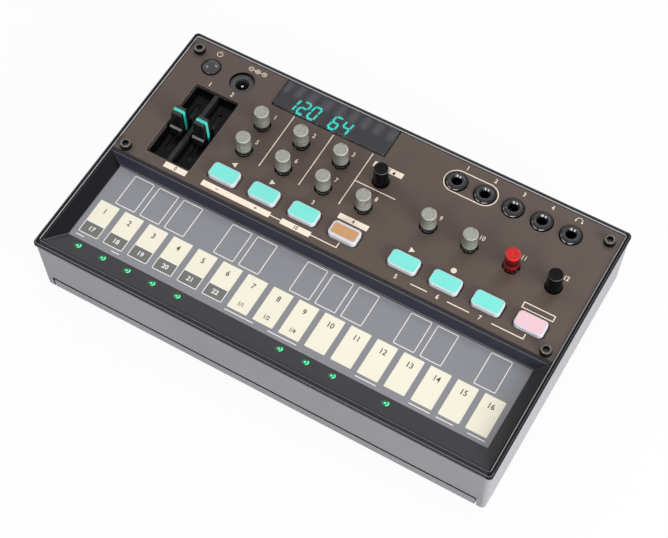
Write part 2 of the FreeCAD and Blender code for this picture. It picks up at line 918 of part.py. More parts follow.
def main_board():
    x = half_width - inner_inset - main_board_side_gap
    low = main_board_bottom - over
    high = main_board_top + over
    board = box(-x, x, main_board_front, half_depth - lip_inner - move_gap, main_board_bottom, main_board_top)
    holes = [post(px, py, low, high, screw_radius + screw_clearance) for px, py in mirrored(rear_screw)]
    holes += [post(px, socket_y, low, high, plug_hole_radius) for px in jack_xs]
    return board.cut(holes)


def integrated_circuits():
    """Processor, memory, converter and two amplifiers, under the main board."""
    return group([block(x, panel_front + row, width, depth, main_board_bottom - height, main_board_bottom)
                  for x, row, width, depth, height in chips])


def capacitors():
    return group([post(x, panel_front + row, main_board_bottom - capacitor_height, main_board_bottom,
                       capacitor_radius) for x, row in capacitor_places])


# Batteries and their contacts
def battery_cell(x, y):
    can_length = cell_length - fit_gap
    can = drum(0, 0, [(cell_radius, 0), (cell_radius, can_length)])
    cell = can.fuse(post(0, 0, can_length, can_length + nub_length, nub_radius))
    cell.rotate(V(0, 0, 0), V(0, 1, 0), 90)
    cell.translate(V(x, y, cell_z))
    return cell


def battery_cells():
    start = -cells_per_row * cell_full_length / 2
    return group([battery_cell(start + i * cell_full_length, y) for y in cell_rows for i in range(cells_per_row)])


def leaf_contact(side, y0, y1, top):
    """Bent strip at one end of the bay, with its crest just short of the cells."""
    end = side * bay_half_width
    foot = end - side * contact_thickness
    crest = end - side * (contact_room - fit_gap)
    crest_back = crest + side * contact_thickness
    low = cell_z - cell_radius
    quarter = cell_radius / 2
    outline = [V(end, y0, low), V(end, y0, cell_z - quarter), V(crest_back, y0, cell_z),
               V(end, y0, cell_z + quarter), V(end, y0, top), V(foot, y0, top), V(foot, y0, cell_z + quarter),
               V(crest, y0, cell_z), V(foot, y0, cell_z - quarter), V(foot, y0, low)]
    return flat_face(outline).extrude(V(0, y1 - y0, 0))


def battery_contacts():
    """Two terminals on the left, with tabs through the bay's roof, and one bridge on the right."""
    half = contact_width / 2
    left = [leaf_contact(-1, y - half, y + half, bay_roof_top + contact_tab) for y in cell_rows]
    bridge = leaf_contact(1, cell_rows[0] - half, cell_rows[-1] + half, cell_z + cell_radius)
    return group(left + [bridge])


def battery_lead():
    """Two flat wires from the terminals' tabs over the bay's roof to the main board."""
    z = main_board_top + fit_gap + lead_thickness / 2
    across = V(lead_width / 2, 0, 0)
    through = V(0, 0, lead_thickness / 2)
    x = move_gap + contact_thickness + lead_width / 2 - bay_half_width
    end = main_board_front + lead_lap
    front_row, back_row = cell_rows
    turn = back_row - cell_radius
    jogged = [V(x, front_row, z), V(x, turn - lead_jog, z), V(x + lead_jog, turn, z), V(x + lead_jog, end, z)]
    straight = block(x, (back_row + end) / 2, lead_width, end - back_row,
                     z - lead_thickness / 2, z + lead_thickness / 2)
    return group([flat_lead(jogged, lead_bend, across, through), straight])


# Speaker
def speaker():
    """Rim, basket and magnet, hollow behind the cone."""
    basket_top = floor_top + basket_height
    hollow_top = basket_top - basket_wall
    inner = speaker_radius - speaker_rim

    def turned(profile):
        return drum(speaker_x, speaker_y, profile)
    basket = turned([(inner + basket_wall, floor_top), (magnet_radius + basket_wall, basket_top)])
    flange = turned([(speaker_radius, floor_top), (speaker_radius, floor_top + speaker_rim_thickness)])
    magnet = turned([(magnet_radius, hollow_top), (magnet_radius, floor_top + speaker_height)])
    hollow = turned([(inner, floor_top - fit_gap), (magnet_radius, hollow_top)])
    return fused([basket, flange, magnet]).cut(hollow)


def speaker_cone():
    outer = speaker_radius - speaker_rim - basket_wall - fit_gap
    low = floor_top + move_gap
    outside = [(outer, low), (voice_coil_radius + cone_thickness, low + cone_depth)]
    inside = [(outer - cone_thickness, low), (voice_coil_radius, low + cone_depth - cone_thickness)]
    return drum(speaker_x, speaker_y, outside).cut(drum(speaker_x, speaker_y, inside))


# Feet, screws and leads
def rubber_foot(x, y):
    return drum(x, y, [(foot_radius - foot_edge, 0), (foot_radius, foot_edge),
                       (foot_radius, foot_height + foot_recess)], post_sides)


def panel_screw(x, y):
    head_top = panel_top + panel_screw_head_height
    e = panel_screw_edge
    head = drum(x, y, [(panel_screw_head_radius, panel_top), (panel_screw_head_radius, head_top - e),
                       (panel_screw_head_radius - e, head_top)], post_sides)
    shank = post(x, y, panel_top - panel_screw_length, panel_top, panel_screw_radius)
    socket = drum(x, y, [(panel_screw_socket, head_top - panel_screw_socket_depth),
                         (panel_screw_socket, head_top + over)], hex_sides)
    return fused([head, shank]).cut(socket)


def case_screw(x, y):
    return fused([post(x, y, seat - screw_head_height, seat, screw_head_radius),
                  post(x, y, seat, screw_tip, screw_radius)])


def keyboard_ribbon():
    """Flat cable from the touch board's underside down to the main board's."""
    half = ribbon_thickness / 2
    high = touch_board_bottom - half
    low = main_board_bottom - half
    drop_y = (sheet_back + main_board_front) / 2
    points = [V(ribbon_x, sheet_back - ribbon_lap, high), V(ribbon_x, drop_y, high), V(ribbon_x, drop_y, low),
              V(ribbon_x, main_board_front + ribbon_tail, low)]
    return flat_lead(points, ribbon_bend, V(ribbon_width / 2, 0, 0), V(0, 0, half))


def speaker_lead():
    """Flat pair from the magnet's top up to the main board."""
    low = floor_top + speaker_height
    level = low + lead_rise
    end = speaker_y + lead_run
    points = [V(speaker_x, speaker_y, low), V(speaker_x, speaker_y, level), V(speaker_x, end, level),
              V(speaker_x, end, main_board_bottom)]
    return flat_lead(points, lead_bend, V(lead_width, 0, 0), V(0, lead_thickness / 2, 0))


def numbered(name, shapes):
    return {"%s_%d" % (name, i): shape for i, shape in enumerate(shapes, 1)}


def all_parts():
    parts = {
        "upper_case": upper_case(),
        "front_panel": front_panel(),
        "lower_case": lower_case(),
        "battery_cover": battery_cover(),
        "key_sheet": key_sheet(),
        "touch_board": touch_board(),
        "key_leds": group([key_led(x) for x in key_xs]),
        "main_board": main_board(),
        "integrated_circuits": integrated_circuits(),
        "capacitors": capacitors(),
        "display_window": display_window(),
        "display_module": display_module(),
        "potentiometers": group([potentiometer(x, y) for x, y in knob_sites()]),
        "power_button": power_button(),
        "tact_switches": group([tact_switch(x, y) for x, y in switch_sites()]),
        "fader_tray": fader_tray(),
        "fader_bodies": group([fader_body(x) for x in fader_xs]),
        "dc_jack": dc_jack(),
        "battery_cells": battery_cells(),
        "battery_contacts": battery_contacts(),
        "battery_lead": battery_lead(),
        "speaker": speaker(),
        "speaker_cone": speaker_cone(),
        "speaker_lead": speaker_lead(),
        "keyboard_ribbon": keyboard_ribbon(),
        "rubber_feet": group([rubber_foot(x, y) for x, y in foot_sites()]),
        "panel_screws": group([panel_screw(x, y) for x, y in panel_screw_sites()]),
        "case_screws": group([case_screw(x, y) for x, y in case_screw_sites()]),
    }
    parts.update(numbered("knob", [knob(x, y) for x, y in knob_sites()]))
    parts.update(numbered("button", [button(x) for x in button_columns()]))
    parts.update(numbered("fader_lever", [fader_lever(x) for x in fader_xs]))
    parts.update(numbered("audio_jack", [audio_jack(x) for x in jack_xs]))
    return parts


os.makedirs("parts", exist_ok=True)
for node, solid in all_parts().items():
    solid.exportStep(os.path.join("parts", node + ".step"))
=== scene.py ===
import json
import math

import bmesh
import bpy
from mathutils import Matrix, Vector

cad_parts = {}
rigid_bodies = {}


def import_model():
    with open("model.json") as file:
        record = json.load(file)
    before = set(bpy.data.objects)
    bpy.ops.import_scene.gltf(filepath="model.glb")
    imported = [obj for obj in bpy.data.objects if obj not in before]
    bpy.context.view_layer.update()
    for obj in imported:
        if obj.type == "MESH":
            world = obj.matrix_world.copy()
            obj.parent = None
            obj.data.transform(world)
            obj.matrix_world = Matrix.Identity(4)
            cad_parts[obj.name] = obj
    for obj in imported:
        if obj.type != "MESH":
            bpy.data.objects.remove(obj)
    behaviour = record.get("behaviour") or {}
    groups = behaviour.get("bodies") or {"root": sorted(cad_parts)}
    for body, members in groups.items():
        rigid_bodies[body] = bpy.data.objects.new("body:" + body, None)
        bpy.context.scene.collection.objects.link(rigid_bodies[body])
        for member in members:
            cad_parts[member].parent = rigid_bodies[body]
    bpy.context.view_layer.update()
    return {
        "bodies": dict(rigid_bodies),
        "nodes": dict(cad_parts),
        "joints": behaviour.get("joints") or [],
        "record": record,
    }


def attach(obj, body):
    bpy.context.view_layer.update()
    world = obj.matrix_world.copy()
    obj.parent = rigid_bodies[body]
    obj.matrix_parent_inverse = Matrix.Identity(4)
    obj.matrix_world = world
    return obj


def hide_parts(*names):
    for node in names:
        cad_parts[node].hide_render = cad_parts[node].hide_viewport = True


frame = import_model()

metre = 1000.0  # every size below is in millimetres

case = {"halfWidth": 96.5, "halfDepth": 57.5, "corner": 2.8, "rimCorner": 1.8, "bottom": 3.0, "split": 31.5,
        "top": 33.0}
deck = {"bottom": 31.6, "top": 32.6, "front": -5.8, "back": 55.5, "halfWidth": 94.5}
sheetTop = 28.0
boardTop = 21.5
keyPitch = 11.0132

leftColumns = [-49.75, -32.15, -14.55, 3.05]
rightColumns = [28.35, 45.8, 63.25, 80.7]
knobPlaces = [(x, 31.45) for x in leftColumns] + [(x, 17.9) for x in leftColumns] + [(x, 22.6) for x in rightColumns]
buttonPlaces = [(x, 3.8) for x in leftColumns + rightColumns]
jackPlaces = [(28.2 + 12.07 * i, 45.6) for i in range(5)]
screwPlaces = [(-90.3, 50.1), (90.3, 50.1), (-90.3, -3.2), (90.3, -3.2)]
caseScrewPlaces = [(-89, 36), (89, 36), (-88.2, -50), (88.2, -50)]
footPlaces = [(-81, 46), (81, 46), (-85.6, -42.6), (85.6, -42.6)]
keyColumns = [keyPitch * (i - 7.5) for i in range(16)]


# Mesh tools
def addToScene(name, data):
    piece = bpy.data.objects.new(name, data)
    bpy.context.scene.collection.objects.link(piece)
    return piece


def meshFrom(bm, name, outward=True):
    if outward:
        bmesh.ops.recalc_face_normals(bm, faces=bm.faces)
    mesh = bpy.data.meshes.new(name)
    bm.to_mesh(mesh)
    bm.free()
    return addToScene(name, mesh)


def roundedOutline(x0, x1, y0, y1, radius, steps=8):
    if radius <= 0:
        return [(x1, y1), (x0, y1), (x0, y0), (x1, y0)]
    corners = ((x1 - radius, y1 - radius), (x0 + radius, y1 - radius),
               (x0 + radius, y0 + radius), (x1 - radius, y0 + radius))
    points = []
    for quarter, (cx, cy) in enumerate(corners):
        for step in range(steps + 1):
            angle = math.pi / 2 * (quarter + step / steps)
            points.append((cx + radius * math.cos(angle), cy + radius * math.sin(angle)))
    return points


def boxOutline(x, y, width, depth, radius=0.0, steps=6):
    return roundedOutline(x - width / 2, x + width / 2, y - depth / 2, y + depth / 2, radius, steps)


def circleOutline(x, y, radius, steps=48):
    return [(x + radius * math.cos(math.tau * i / steps), y + radius * math.sin(math.tau * i / steps))
            for i in range(steps)]


def roundOver(radius, steps=5):
    angles = [math.pi / 2 * i / steps for i in range(steps + 1)]
    return [(radius * (1 - math.cos(a)), radius * (1 - math.sin(a))) for a in angles]


def addStack(bm, levels):
    # levels are (outline, height), lowest first, all with the same number of points
    rows = [[bm.verts.new((x, y, z)) for x, y in outline] for outline, z in levels]
    for low, high in zip(rows, rows[1:]):
        for i in range(len(low)):
            bm.faces.new((low[i - 1], low[i], high[i], high[i - 1]))
    bm.faces.new(list(reversed(rows[0])))
    bm.faces.new(rows[-1])


def stack(name, levels):
    bm = bmesh.new()
    addStack(bm, levels)
    return meshFrom(bm, name)


def turn(name, x, y, profile, steps=64, hollow=False):
    # profile is (radius, height); a solid one starts and ends at radius 0, a hollow one closes on itself
    bm = bmesh.new()
    rows = []
    for radius, z in profile:
        if radius < 1e-6:
            rows.append([bm.verts.new((x, y, z))] * steps)
        else:
            rows.append([bm.verts.new((px, py, z)) for px, py in circleOutline(x, y, radius, steps)])
    for low, high in list(zip(rows, rows[1:])) + [(rows[-1], rows[0])] * hollow:
        for i in range(steps):
            corners = list(dict.fromkeys((low[i - 1], low[i], high[i], high[i - 1])))
            if len(corners) > 2:
                bm.faces.new(corners)
    return meshFrom(bm, name)


def slab(name, x0, x1, y0, y1, z0, z1, corner=0.0, edge=0.0):
    levels = [(roundedOutline(x0, x1, y0, y1, corner), z0)]
    for inset, fall in roundOver(edge, 3) if edge else [(0.0, 0.0)]:
        rounding = max(corner - inset, 0.01) if edge else corner
        levels.append((roundedOutline(x0 + inset, x1 - inset, y0 + inset, y1 - inset, rounding), z1 - fall))
    return stack(name, levels)


def block(name, x, y, width, depth, z0, z1, corner=0.0, edge=0.0):
    return slab(name, x - width / 2, x + width / 2, y - depth / 2, y + depth / 2, z0, z1, corner, edge)


def rod(name, x, y, z0, z1, radius, steps=32):
    return stack(name, [(circleOutline(x, y, radius, steps), z) for z in (z0, z1)])


def rods(name, places, z0, z1, radius, steps=32):
    return [rod(name, x, y, z0, z1, radius, steps) for x, y in places]


def combine(piece, others, how):
    # booleans one after another, each tool used up
    for other in others:
        work = piece.modifiers.new("shape", "BOOLEAN")
        work.operation = how
        work.solver = "EXACT"
        work.object = other
        shaped = bpy.data.meshes.new_from_object(piece.evaluated_get(bpy.context.evaluated_depsgraph_get()))
        piece.modifiers.clear()
        old = piece.data
        piece.data = shaped
        shaped.name = piece.name
        bpy.data.meshes.remove(old)
        bpy.data.meshes.remove(other.data)
    return piece


def join(piece, others):
    return combine(piece, others, "UNION")


def carve(piece, others):
    return combine(piece, others, "DIFFERENCE")


def together(name, pieces):
    # several separate solids as one piece
    bm = bmesh.new()
    for piece in pieces:
        bm.from_mesh(piece.data)
        bpy.data.meshes.remove(piece.data)
    return meshFrom(bm, name, False)


def copyAt(piece, name, x, y, spin=0.0, z=0.0):
    mesh = piece.data.copy()
    mesh.transform(Matrix.Translation((x, y, z)) @ Matrix.Rotation(math.radians(spin), 4, "Z"))
    mesh.name = name
    return addToScene(name, mesh)


def spread(name, master, places, spin=0.0, z=0.0):
    # copies of one shape as one piece, each turned a little further
    piece = together(name, [copyAt(master, "one", x, y, spin * i, z) for i, (x, y) in enumerate(places)])
    drop(master)
    return piece


def drop(*pieces):
    for piece in pieces:
        bpy.data.meshes.remove(piece.data)


def fit(piece, look, body="case", stands=(), slot=None):
    # millimetres to metres, smooth shading, then onto its body
    mesh = piece.data
    mesh.transform(Matrix.Scale(1 / metre, 4))
    mesh.materials.clear()
    mesh.materials.append(look)
    for face in mesh.polygons:
        face.use_smooth = True
        face.material_index = 0
    mesh.set_sharp_from_angle(angle=math.radians(36.0))
    piece.modifiers.new("evenShading", "WEIGHTED_NORMAL").keep_sharp = True
    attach(piece, body)
    if stands:
        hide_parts(*stands)


# Flat marks: thin closed solids that stand a little proud of the surface below
ink = {"below": 0.02, "above": 0.03, "merge": 0.0008, "weight": 0.05}


def addStroke(bm, points, width, low, high, closed=False):
    rows = []
    for i, point in enumerate(points):
        here = Vector(point)
        ways = []
        if closed or i > 0:
            ways.append((here - Vector(points[i - 1])).normalized())
        if closed or i < len(points) - 1:
            ways.append((Vector(points[(i + 1) % len(points)]) - here).normalized())
        along = sum(ways, Vector((0.0, 0.0))).normalized()
        left = Vector((-along.y, along.x)) * (width / 2 / max(along.dot(ways[0]), 0.3))
        a, b = here + left, here - left
        rows.append([bm.verts.new((p.x, p.y, z)) for p, z in ((a, low), (b, low), (b, high), (a, high))])
    for one, two in list(zip(rows, rows[1:])) + [(rows[-1], rows[0])] * closed:
        for k in range(4):
            bm.faces.new((one[k - 1], one[k], two[k], two[k - 1]))
    if not closed:
        bm.faces.new(rows[0])
        bm.faces.new(list(reversed(rows[-1])))


def addFigures(bm, text, x, y, height, squeeze, low, high):
    curve = bpy.data.curves.new("figures", "FONT")
    curve.body = text
    curve.size = height / 0.73
    curve.align_x = "CENTER"
    curve.align_y = "CENTER"
    curve.resolution_u = 3
    curve.extrude = (high - low) / 2
    curve.offset = ink["weight"]
    writing = addToScene("figures", curve)
    bpy.context.view_layer.update()
    mesh = bpy.data.meshes.new_from_object(writing.evaluated_get(bpy.context.evaluated_depsgraph_get()))
    mesh.transform(Matrix.Translation((x, y, (low + high) / 2)) @ Matrix.Diagonal((squeeze, 1, 1, 1)))
    bm.from_mesh(mesh)
    bpy.data.objects.remove(writing)
    bpy.data.curves.remove(curve)
    bpy.data.meshes.remove(mesh)


def printed(name, base, strokes=(), patches=(), figures=(), below=ink["below"], above=ink["above"]):
    # strokes are (points, width, closed, more height), patches outlines, figures (text, x, y, height, squeeze)
    bm = bmesh.new()
    low, high = base - below, base + above
    for points, width, closed, *more in strokes:
        addStroke(bm, points, width, low, high + sum(more), closed)
    for outline in patches:
        addStack(bm, [(outline, low), (outline, high)])
    for figure in figures:
        addFigures(bm, *figure, low, high)
    bmesh.ops.remove_doubles(bm, verts=bm.verts, dist=ink["merge"])
    return meshFrom(bm, name)


# Node tools
def tint(red, green, blue):
    values = [c / 255 for c in (red, green, blue)]
    return tuple(((v + 0.055) / 1.055) ** 2.4 if v > 0.04 else v / 12.92 for v in values) + (1.0,)


def greys(bands, shift=(0, 0, 0)):
    # (height, grey) stops as colours, with red, green and blue shifted a little
    return [(z, tint(*(grey + s for s in shift))) for z, grey in bands]


def feed(value, socket):
    # a number or colour is set, anything else is wired in
    if isinstance(value, (int, float, tuple)):
        socket.default_value = value
    else:
        socket.id_data.links.new(getattr(value, "socket", value), socket)


def addNode(tree, kind, group=None, **values):
    node = tree.nodes.new("ShaderNode" + kind)
    if group:
        node.node_tree = group
    for label, value in values.items():
        feed(value, node.inputs[label])
    return node


def mathNode(operation, *values):
    tree = [value for value in values if isinstance(value, Signal)][0].socket.id_data
    node = addNode(tree, "Math")
    node.operation = operation
    for value, socket in zip(values, node.inputs):
        feed(value, socket)
    return Signal(node.outputs[0])


class Signal:
    # a number that the node tree works out: sums and comparisons with it become math nodes
    def __init__(self, socket):
        self.socket = socket

    def __add__(self, other):
        return mathNode("ADD", self, other)

    def __sub__(self, other):
        return mathNode("SUBTRACT", self, other)

    def __rsub__(self, other):
        return mathNode("SUBTRACT", other, self)

    def __mul__(self, other):
        return mathNode("MULTIPLY", self, other)

    def __truediv__(self, other):
        return mathNode("DIVIDE", self, other)

    def __gt__(self, other):
        return mathNode("GREATER_THAN", self, other)

    def __lt__(self, other):
        return mathNode("LESS_THAN", self, other)

    def __abs__(self):
        return mathNode("ABSOLUTE", self)

    def clipped(self):
        self.socket.node.use_clamp = True
        return self


def objectPlace(tree):
    return addNode(tree, "TexCoord").outputs["Object"]


def axesOf(tree, kind="Object"):
    # X, Y and Z of the piece's own place (metres) or of its normal
    parts = addNode(tree, "SeparateXYZ", Vector=addNode(tree, "TexCoord").outputs[kind])
    return [Signal(parts.outputs[axis]) for axis in "XYZ"]


def mixColour(tree, mask, first, second):
    blend = addNode(tree, "Mix")
    blend.data_type = "RGBA"
    for index, value in ((0, mask), (6, first), (7, second)):
        feed(value, blend.inputs[index])
    return blend.outputs[2]


def noiseNode(tree, scale, detail=3.0, stretch=None):
    source = objectPlace(tree)
    if stretch:
        source = addNode(tree, "Mapping", Vector=source, Scale=stretch).outputs["Vector"]
    return Signal(addNode(tree, "TexNoise", Vector=source, Scale=scale, Detail=detail).outputs["Fac"])


def cellsNode(tree, scale, **values):
    return addNode(tree, "TexVoronoi", Vector=objectPlace(tree), Scale=scale, **values)


def startGroup(name, inputs, outputs):
    group = bpy.data.node_groups.new(name, "ShaderNodeTree")
    for labels, way in ((inputs, "INPUT"), (outputs, "OUTPUT")):
        for label in labels:
            kind = "NodeSocketColor" if label == "Color" else "NodeSocketFloat"
            socket = group.interface.new_socket(name=label, in_out=way, socket_type=kind)
            if way == "INPUT":
                socket.default_value = inputs[label]
    return group, group.nodes.new("NodeGroupInput").outputs, group.nodes.new("NodeGroupOutput").inputs


def makeColourDrift():
    # slow clouds in the colour's brightness
    group, given, result = startGroup("colourDrift", {"Color": (0.5, 0.5, 0.5, 1), "Amount": 0.05, "Scale": 60.0},
                                      ["Color"])
    swing = (noiseNode(group, given["Scale"]) - 0.5) * given["Amount"]
    shade = addNode(group, "HueSaturation", Value=swing * 4.0 + 1.0, Color=given["Color"])
    feed(shade.outputs["Color"], result["Color"])
    return group


def makeHandling():
    # soft smears that dull or polish the surface
    group, given, result = startGroup("handlingMarks", {"Roughness": 0.3, "Amount": 0.05, "Scale": 120.0},
                                      ["Roughness"])
    swing = (noiseNode(group, given["Scale"], 4.0, (1.0, 0.45, 1.0)) - 0.5) * given["Amount"]
    feed((swing * 4.0 + given["Roughness"]).clipped(), result["Roughness"])
    return group


def makeGrain():
    # moulded texture: fine noise with small pits
    group, given, result = startGroup("mouldGrain", {"Scale": 2500.0, "Pits": 0.3}, ["Height"])
    pits = Signal(cellsNode(group, given["Scale"]).outputs["Distance"]) * given["Pits"]
    feed(noiseNode(group, given["Scale"], 2.0) + pits, result["Height"])
    return group


def makeBrushed():
    # drawn metal: noise pulled out along one direction
    group, given, result = startGroup("brushedLines", {"Scale": 900.0}, ["Height"])
    feed(noiseNode(group, given["Scale"], 5.0, (0.06, 1.0, 1.0)), result["Height"])
    return group


def makeTraces():
    # copper tracks under the solder mask
    group, given, result = startGroup("boardTraces", {"Scale": 220.0, "Width": 0.12}, ["Mask"])
    cells = cellsNode(group, given["Scale"], Randomness=0.75)
    cells.distance = "CHEBYCHEV"
    bands = mathNode("FRACT", Signal(cells.outputs["Distance"]) * 5.0)
    feed(bands < given["Width"], result["Mask"])
    return group


colourDrift = makeColourDrift()
handlingMarks = makeHandling()
mouldGrain = makeGrain()
brushedLines = makeBrushed()
boardTraces = makeTraces()


def shaderOf(look):
    return look.node_tree.nodes["Principled BSDF"]


def makeLook(name, colour, rough, metal=0.0, drift=0.05, driftScale=60.0, marks=0.04, marksScale=120.0,
             bump=0.03, grainScale=2500.0, pits=0.3, brushed=False, coat=0.0, glass=0.0, ior=1.5, specular=0.5):
    look = bpy.data.materials.new(name)
    look.use_nodes = True
    tree = look.node_tree
    colours = addNode(tree, "Group", colourDrift, Color=colour, Amount=drift, Scale=driftScale)
    smears = addNode(tree, "Group", handlingMarks, Roughness=rough, Amount=marks, Scale=marksScale)
    if brushed:
        grain = addNode(tree, "Group", brushedLines, Scale=grainScale)
    else:
        grain = addNode(tree, "Group", mouldGrain, Scale=grainScale, Pits=pits)
    relief = addNode(tree, "Bump", Strength=bump, Distance=0.0002, Height=grain.outputs["Height"])
    for label, value in (("Base Color", colours.outputs["Color"]), ("Roughness", smears.outputs["Roughness"]),
                         ("Normal", relief.outputs["Normal"]), ("Metallic", metal), ("IOR", ior),
                         ("Specular IOR Level", specular), ("Transmission Weight", glass), ("Coat Weight", coat),
                         ("Coat Roughness", 0.06)):
        feed(value, shaderOf(look).inputs[label])
    return look


def twoTone(look, mask, second):
    # puts a second colour over the drifting one where the mask is 1
    target = shaderOf(look).inputs["Base Color"]
    feed(mixColour(look.node_tree, mask, target.links[0].from_socket, second), target)


def banded(look, stops):
    # colours by height, as (millimetres, colour) from the lowest up, under the drifting
    low, high = stops[0][0], stops[-1][0]
    ramp = addNode(look.node_tree, "ValToRGB")
    feed(((axesOf(look.node_tree)[2] * metre - low) / (high - low)).clipped(), ramp.inputs[0])
    points = ramp.color_ramp.elements
    for i, (z, colour) in enumerate(stops):
        stop = points[0] if i == 0 else points[-1] if i == len(stops) - 1 else points.new((z - low) / (high - low))
        stop.color = colour
    feed(ramp.outputs["Color"], shaderOf(look).inputs["Base Color"].links[0].from_node.inputs["Color"])
    return look


def glowing(look, colour, strength):
    feed(colour, shaderOf(look).inputs["Emission Color"])
    feed(strength, shaderOf(look).inputs["Emission Strength"])
    return look


print("tools and node groups ready")

# Camera, from the photograph's own viewpoint
cameraSet = {"place": (0.1711466, -0.2894307, 0.5774883), "turn": (30.665099, 0.289744, 30.033872),
             "lens": 92.3539, "sensor": 36.0}


def makeCamera():
    data = bpy.data.cameras.new("camera")
    data.lens = cameraSet["lens"]
    data.sensor_width = cameraSet["sensor"]
    data.sensor_fit = "HORIZONTAL"
    data.clip_start = 0.01
    view = addToScene("camera", data)
    view.location = cameraSet["place"]
    view.rotation_euler = [math.radians(a) for a in cameraSet["turn"]]
    bpy.context.scene.camera = view


# Studio: an even white surround, one broad lamp from the right and small ones round about
studio = {"surround": 0.42, "floorSize": 6.0, "floorGlow": 0.93, "floorBounce": 0.3,
          "lamps": (("rightLamp", (1.05, -0.3, 0.32), 0.6, 12.6), ("leftLamp", (-0.75, 0.13, 0.8), 0.25, 1.7),
                    ("backLamp", (0.13, 0.8, 0.77), 0.25, 1.9), ("frontLeftLamp", (-0.2, -0.95, 0.55), 0.09, 1.5),
                    ("frontRightLamp", (0.8, -0.6, 0.6), 0.09, 1.5)),
          "outOfMirrors": "rightLamp"}  # seen at a low angle it would turn the key sheet white


def isSeenWhite(tree):
    # 1 for camera, mirror and glass rays
    path = addNode(tree, "LightPath").outputs
    return mathNode("MAXIMUM", mathNode("MAXIMUM", Signal(path["Is Camera Ray"]), path["Is Glossy Ray"]),
                    path["Is Transmission Ray"])


def makeWorld():
    world = bpy.data.worlds.new("studioWorld")
    world.use_nodes = True
    bpy.context.scene.world = world
    ground = world.node_tree.nodes["Background"]
    feed((1.0, 1.0, 1.0, 1.0), ground.inputs["Color"])
    feed(isSeenWhite(world.node_tree) * (1.0 - studio["surround"]) + studio["surround"], ground.inputs["Strength"])


def makeLamps():
    for name, place, size, power in studio["lamps"]:
        data = bpy.data.lights.new(name, "AREA")
        data.size = size
        data.energy = power
        lamp = addToScene(name, data)
        lamp.location = place
        lamp.rotation_euler = (Vector((0, 0, 0.02)) - Vector(place)).to_track_quat("-Z", "Y").to_euler()
        lamp.visible_glossy = name != studio["outOfMirrors"]


def makeFloor():
    half = studio["floorSize"] / 2
    mesh = bpy.data.meshes.new("floor")
    mesh.from_pydata([(-half, -half, 0), (half, -half, 0), (half, half, 0), (-half, half, 0)], [], [(0, 1, 2, 3)])
    paper = bpy.data.materials.new("floorPaper")
    paper.use_nodes = True
    tree = paper.node_tree
    tree.nodes.clear()
    white = isSeenWhite(tree)
    diffuse = addNode(tree, "BsdfDiffuse", Color=white * 0.6 + studio["floorBounce"])
    glow = addNode(tree, "Emission", Color=(1.0, 1.0, 1.0, 1.0), Strength=1.0)
    blend = addNode(tree, "MixShader", Fac=white * studio["floorGlow"])
    feed(diffuse.outputs[0], blend.inputs[1])
    feed(glow.outputs[0], blend.inputs[2])
    addNode(tree, "OutputMaterial", Surface=blend.outputs[0])
    mesh.materials.append(paper)
    addToScene("floor", mesh)


makeCamera()
makeWorld()
makeLamps()
makeFloor()
bpy.context.scene.view_settings.view_transform = "Standard"
print("camera and studio ready")

# Upper case: glossy dark rim with the sunk key well
upperCaseSet = {"rimRound": 0.7, "pocketRound": 0.35, "wellRound": 0.3, "wellCorner": 0.9, "wellHalfWidth": 94.0,
                "wellFront": -54.5, "wellBack": -7.2, "wellEdge": 32.2, "keyHalfWidth": 89.4, "keyFront": -45.2,
                "keyBack": -9.5, "opening": (-91.1, 91.1, -2.4, 52.1), "ledge": (-94.6, 94.6, -7.2, 55.6),
                # the slope edge colour is a painted highlight on the back slope's edges
                "pocket": (94.6, -5.9, 55.6, 0.6, 5), "colour": tint(48, 48, 51), "slopeEdgeHighlight": tint(118, 118, 124),
                # the side strip colour is painted shade on the rim's left and right sides
                "sideShade": tint(18, 18, 20), 
                # painted reflection and shade: each slope of the well has its own colour by the way it faces
                "slopes": ((0, 0.4, tint(18, 17, 22)), (0, -0.4, tint(58, 58, 60)),  # left, right
                           (1, -0.6, tint(50, 51, 63)), (1, 0.25, tint(68, 68, 71))),  # back, front
                # two pale lines: painted highlights of the rim's inner and outer edges, with a painted tone for the
                # right side and the front
                "lines": (("rimBeadHighlight", (1.75, 2.3), 0.9, 0.3, 0.04,
                           (tint(186, 186, 190), tint(148, 148, 152), tint(90, 90, 94))),
                          ("rimEdgeHighlight", (0.6, 0.6), 1.25, 0.22, 0.02,
                           (tint(62, 62, 66), tint(74, 74, 78), tint(128, 128, 132)))),
                "lampRow": (88.0, -48.4), "lampHalo": (0.4, 1.8), "haloLevel": 0.2, "lampDot": (0.25, 0.62),
                "lampRing": ((0.15, 1.25, 1.5), (0.0, 0.95, 1.2)), "ringFrom": 0.6,
                "lampColour": tint(60, 255, 160), "lampStrength": 1.5,
                "litLamps": (1, 2, 3, 4, 5, 9, 10, 11, 13)}


def caseOutline(inset, corner="corner"):
    w = case["halfWidth"] - inset
    d = case["halfDepth"] - inset
    return roundedOutline(-w, w, -d, d, max(case[corner] - inset, 0.2), 10)


def caseStack(name, *levels):
    return stack(name, [(caseOutline(inset), z) for inset, z in levels])


def mouthLevels(x, front, back, corner, steps, edge):
    # an opening's outline grows over its rounded edge, then goes straight up
    def mouth(grow):
        return roundedOutline(-x - grow, x + grow, front - grow, back + grow, corner + grow, steps)
    return [(mouth(inset), case["top"] - fall) for inset, fall in roundOver(edge, 4)] + [(mouth(edge), 35.0)]


def wellCutter():
    s = upperCaseSet
    floor = roundedOutline(-s["keyHalfWidth"], s["keyHalfWidth"], s["keyFront"], s["keyBack"], 0.5, 6)
    levels = mouthLevels(s["wellHalfWidth"], s["wellFront"], s["wellBack"], s["wellCorner"], 6, s["wellRound"])
    return stack("tool", [(floor, 27.0), (floor, sheetTop), (levels[0][0], s["wellEdge"])] + levels)


def pocketCutter():
    levels = mouthLevels(*upperCaseSet["pocket"], upperCaseSet["pocketRound"])
    return stack("tool", [(levels[0][0], deck["bottom"])] + levels)


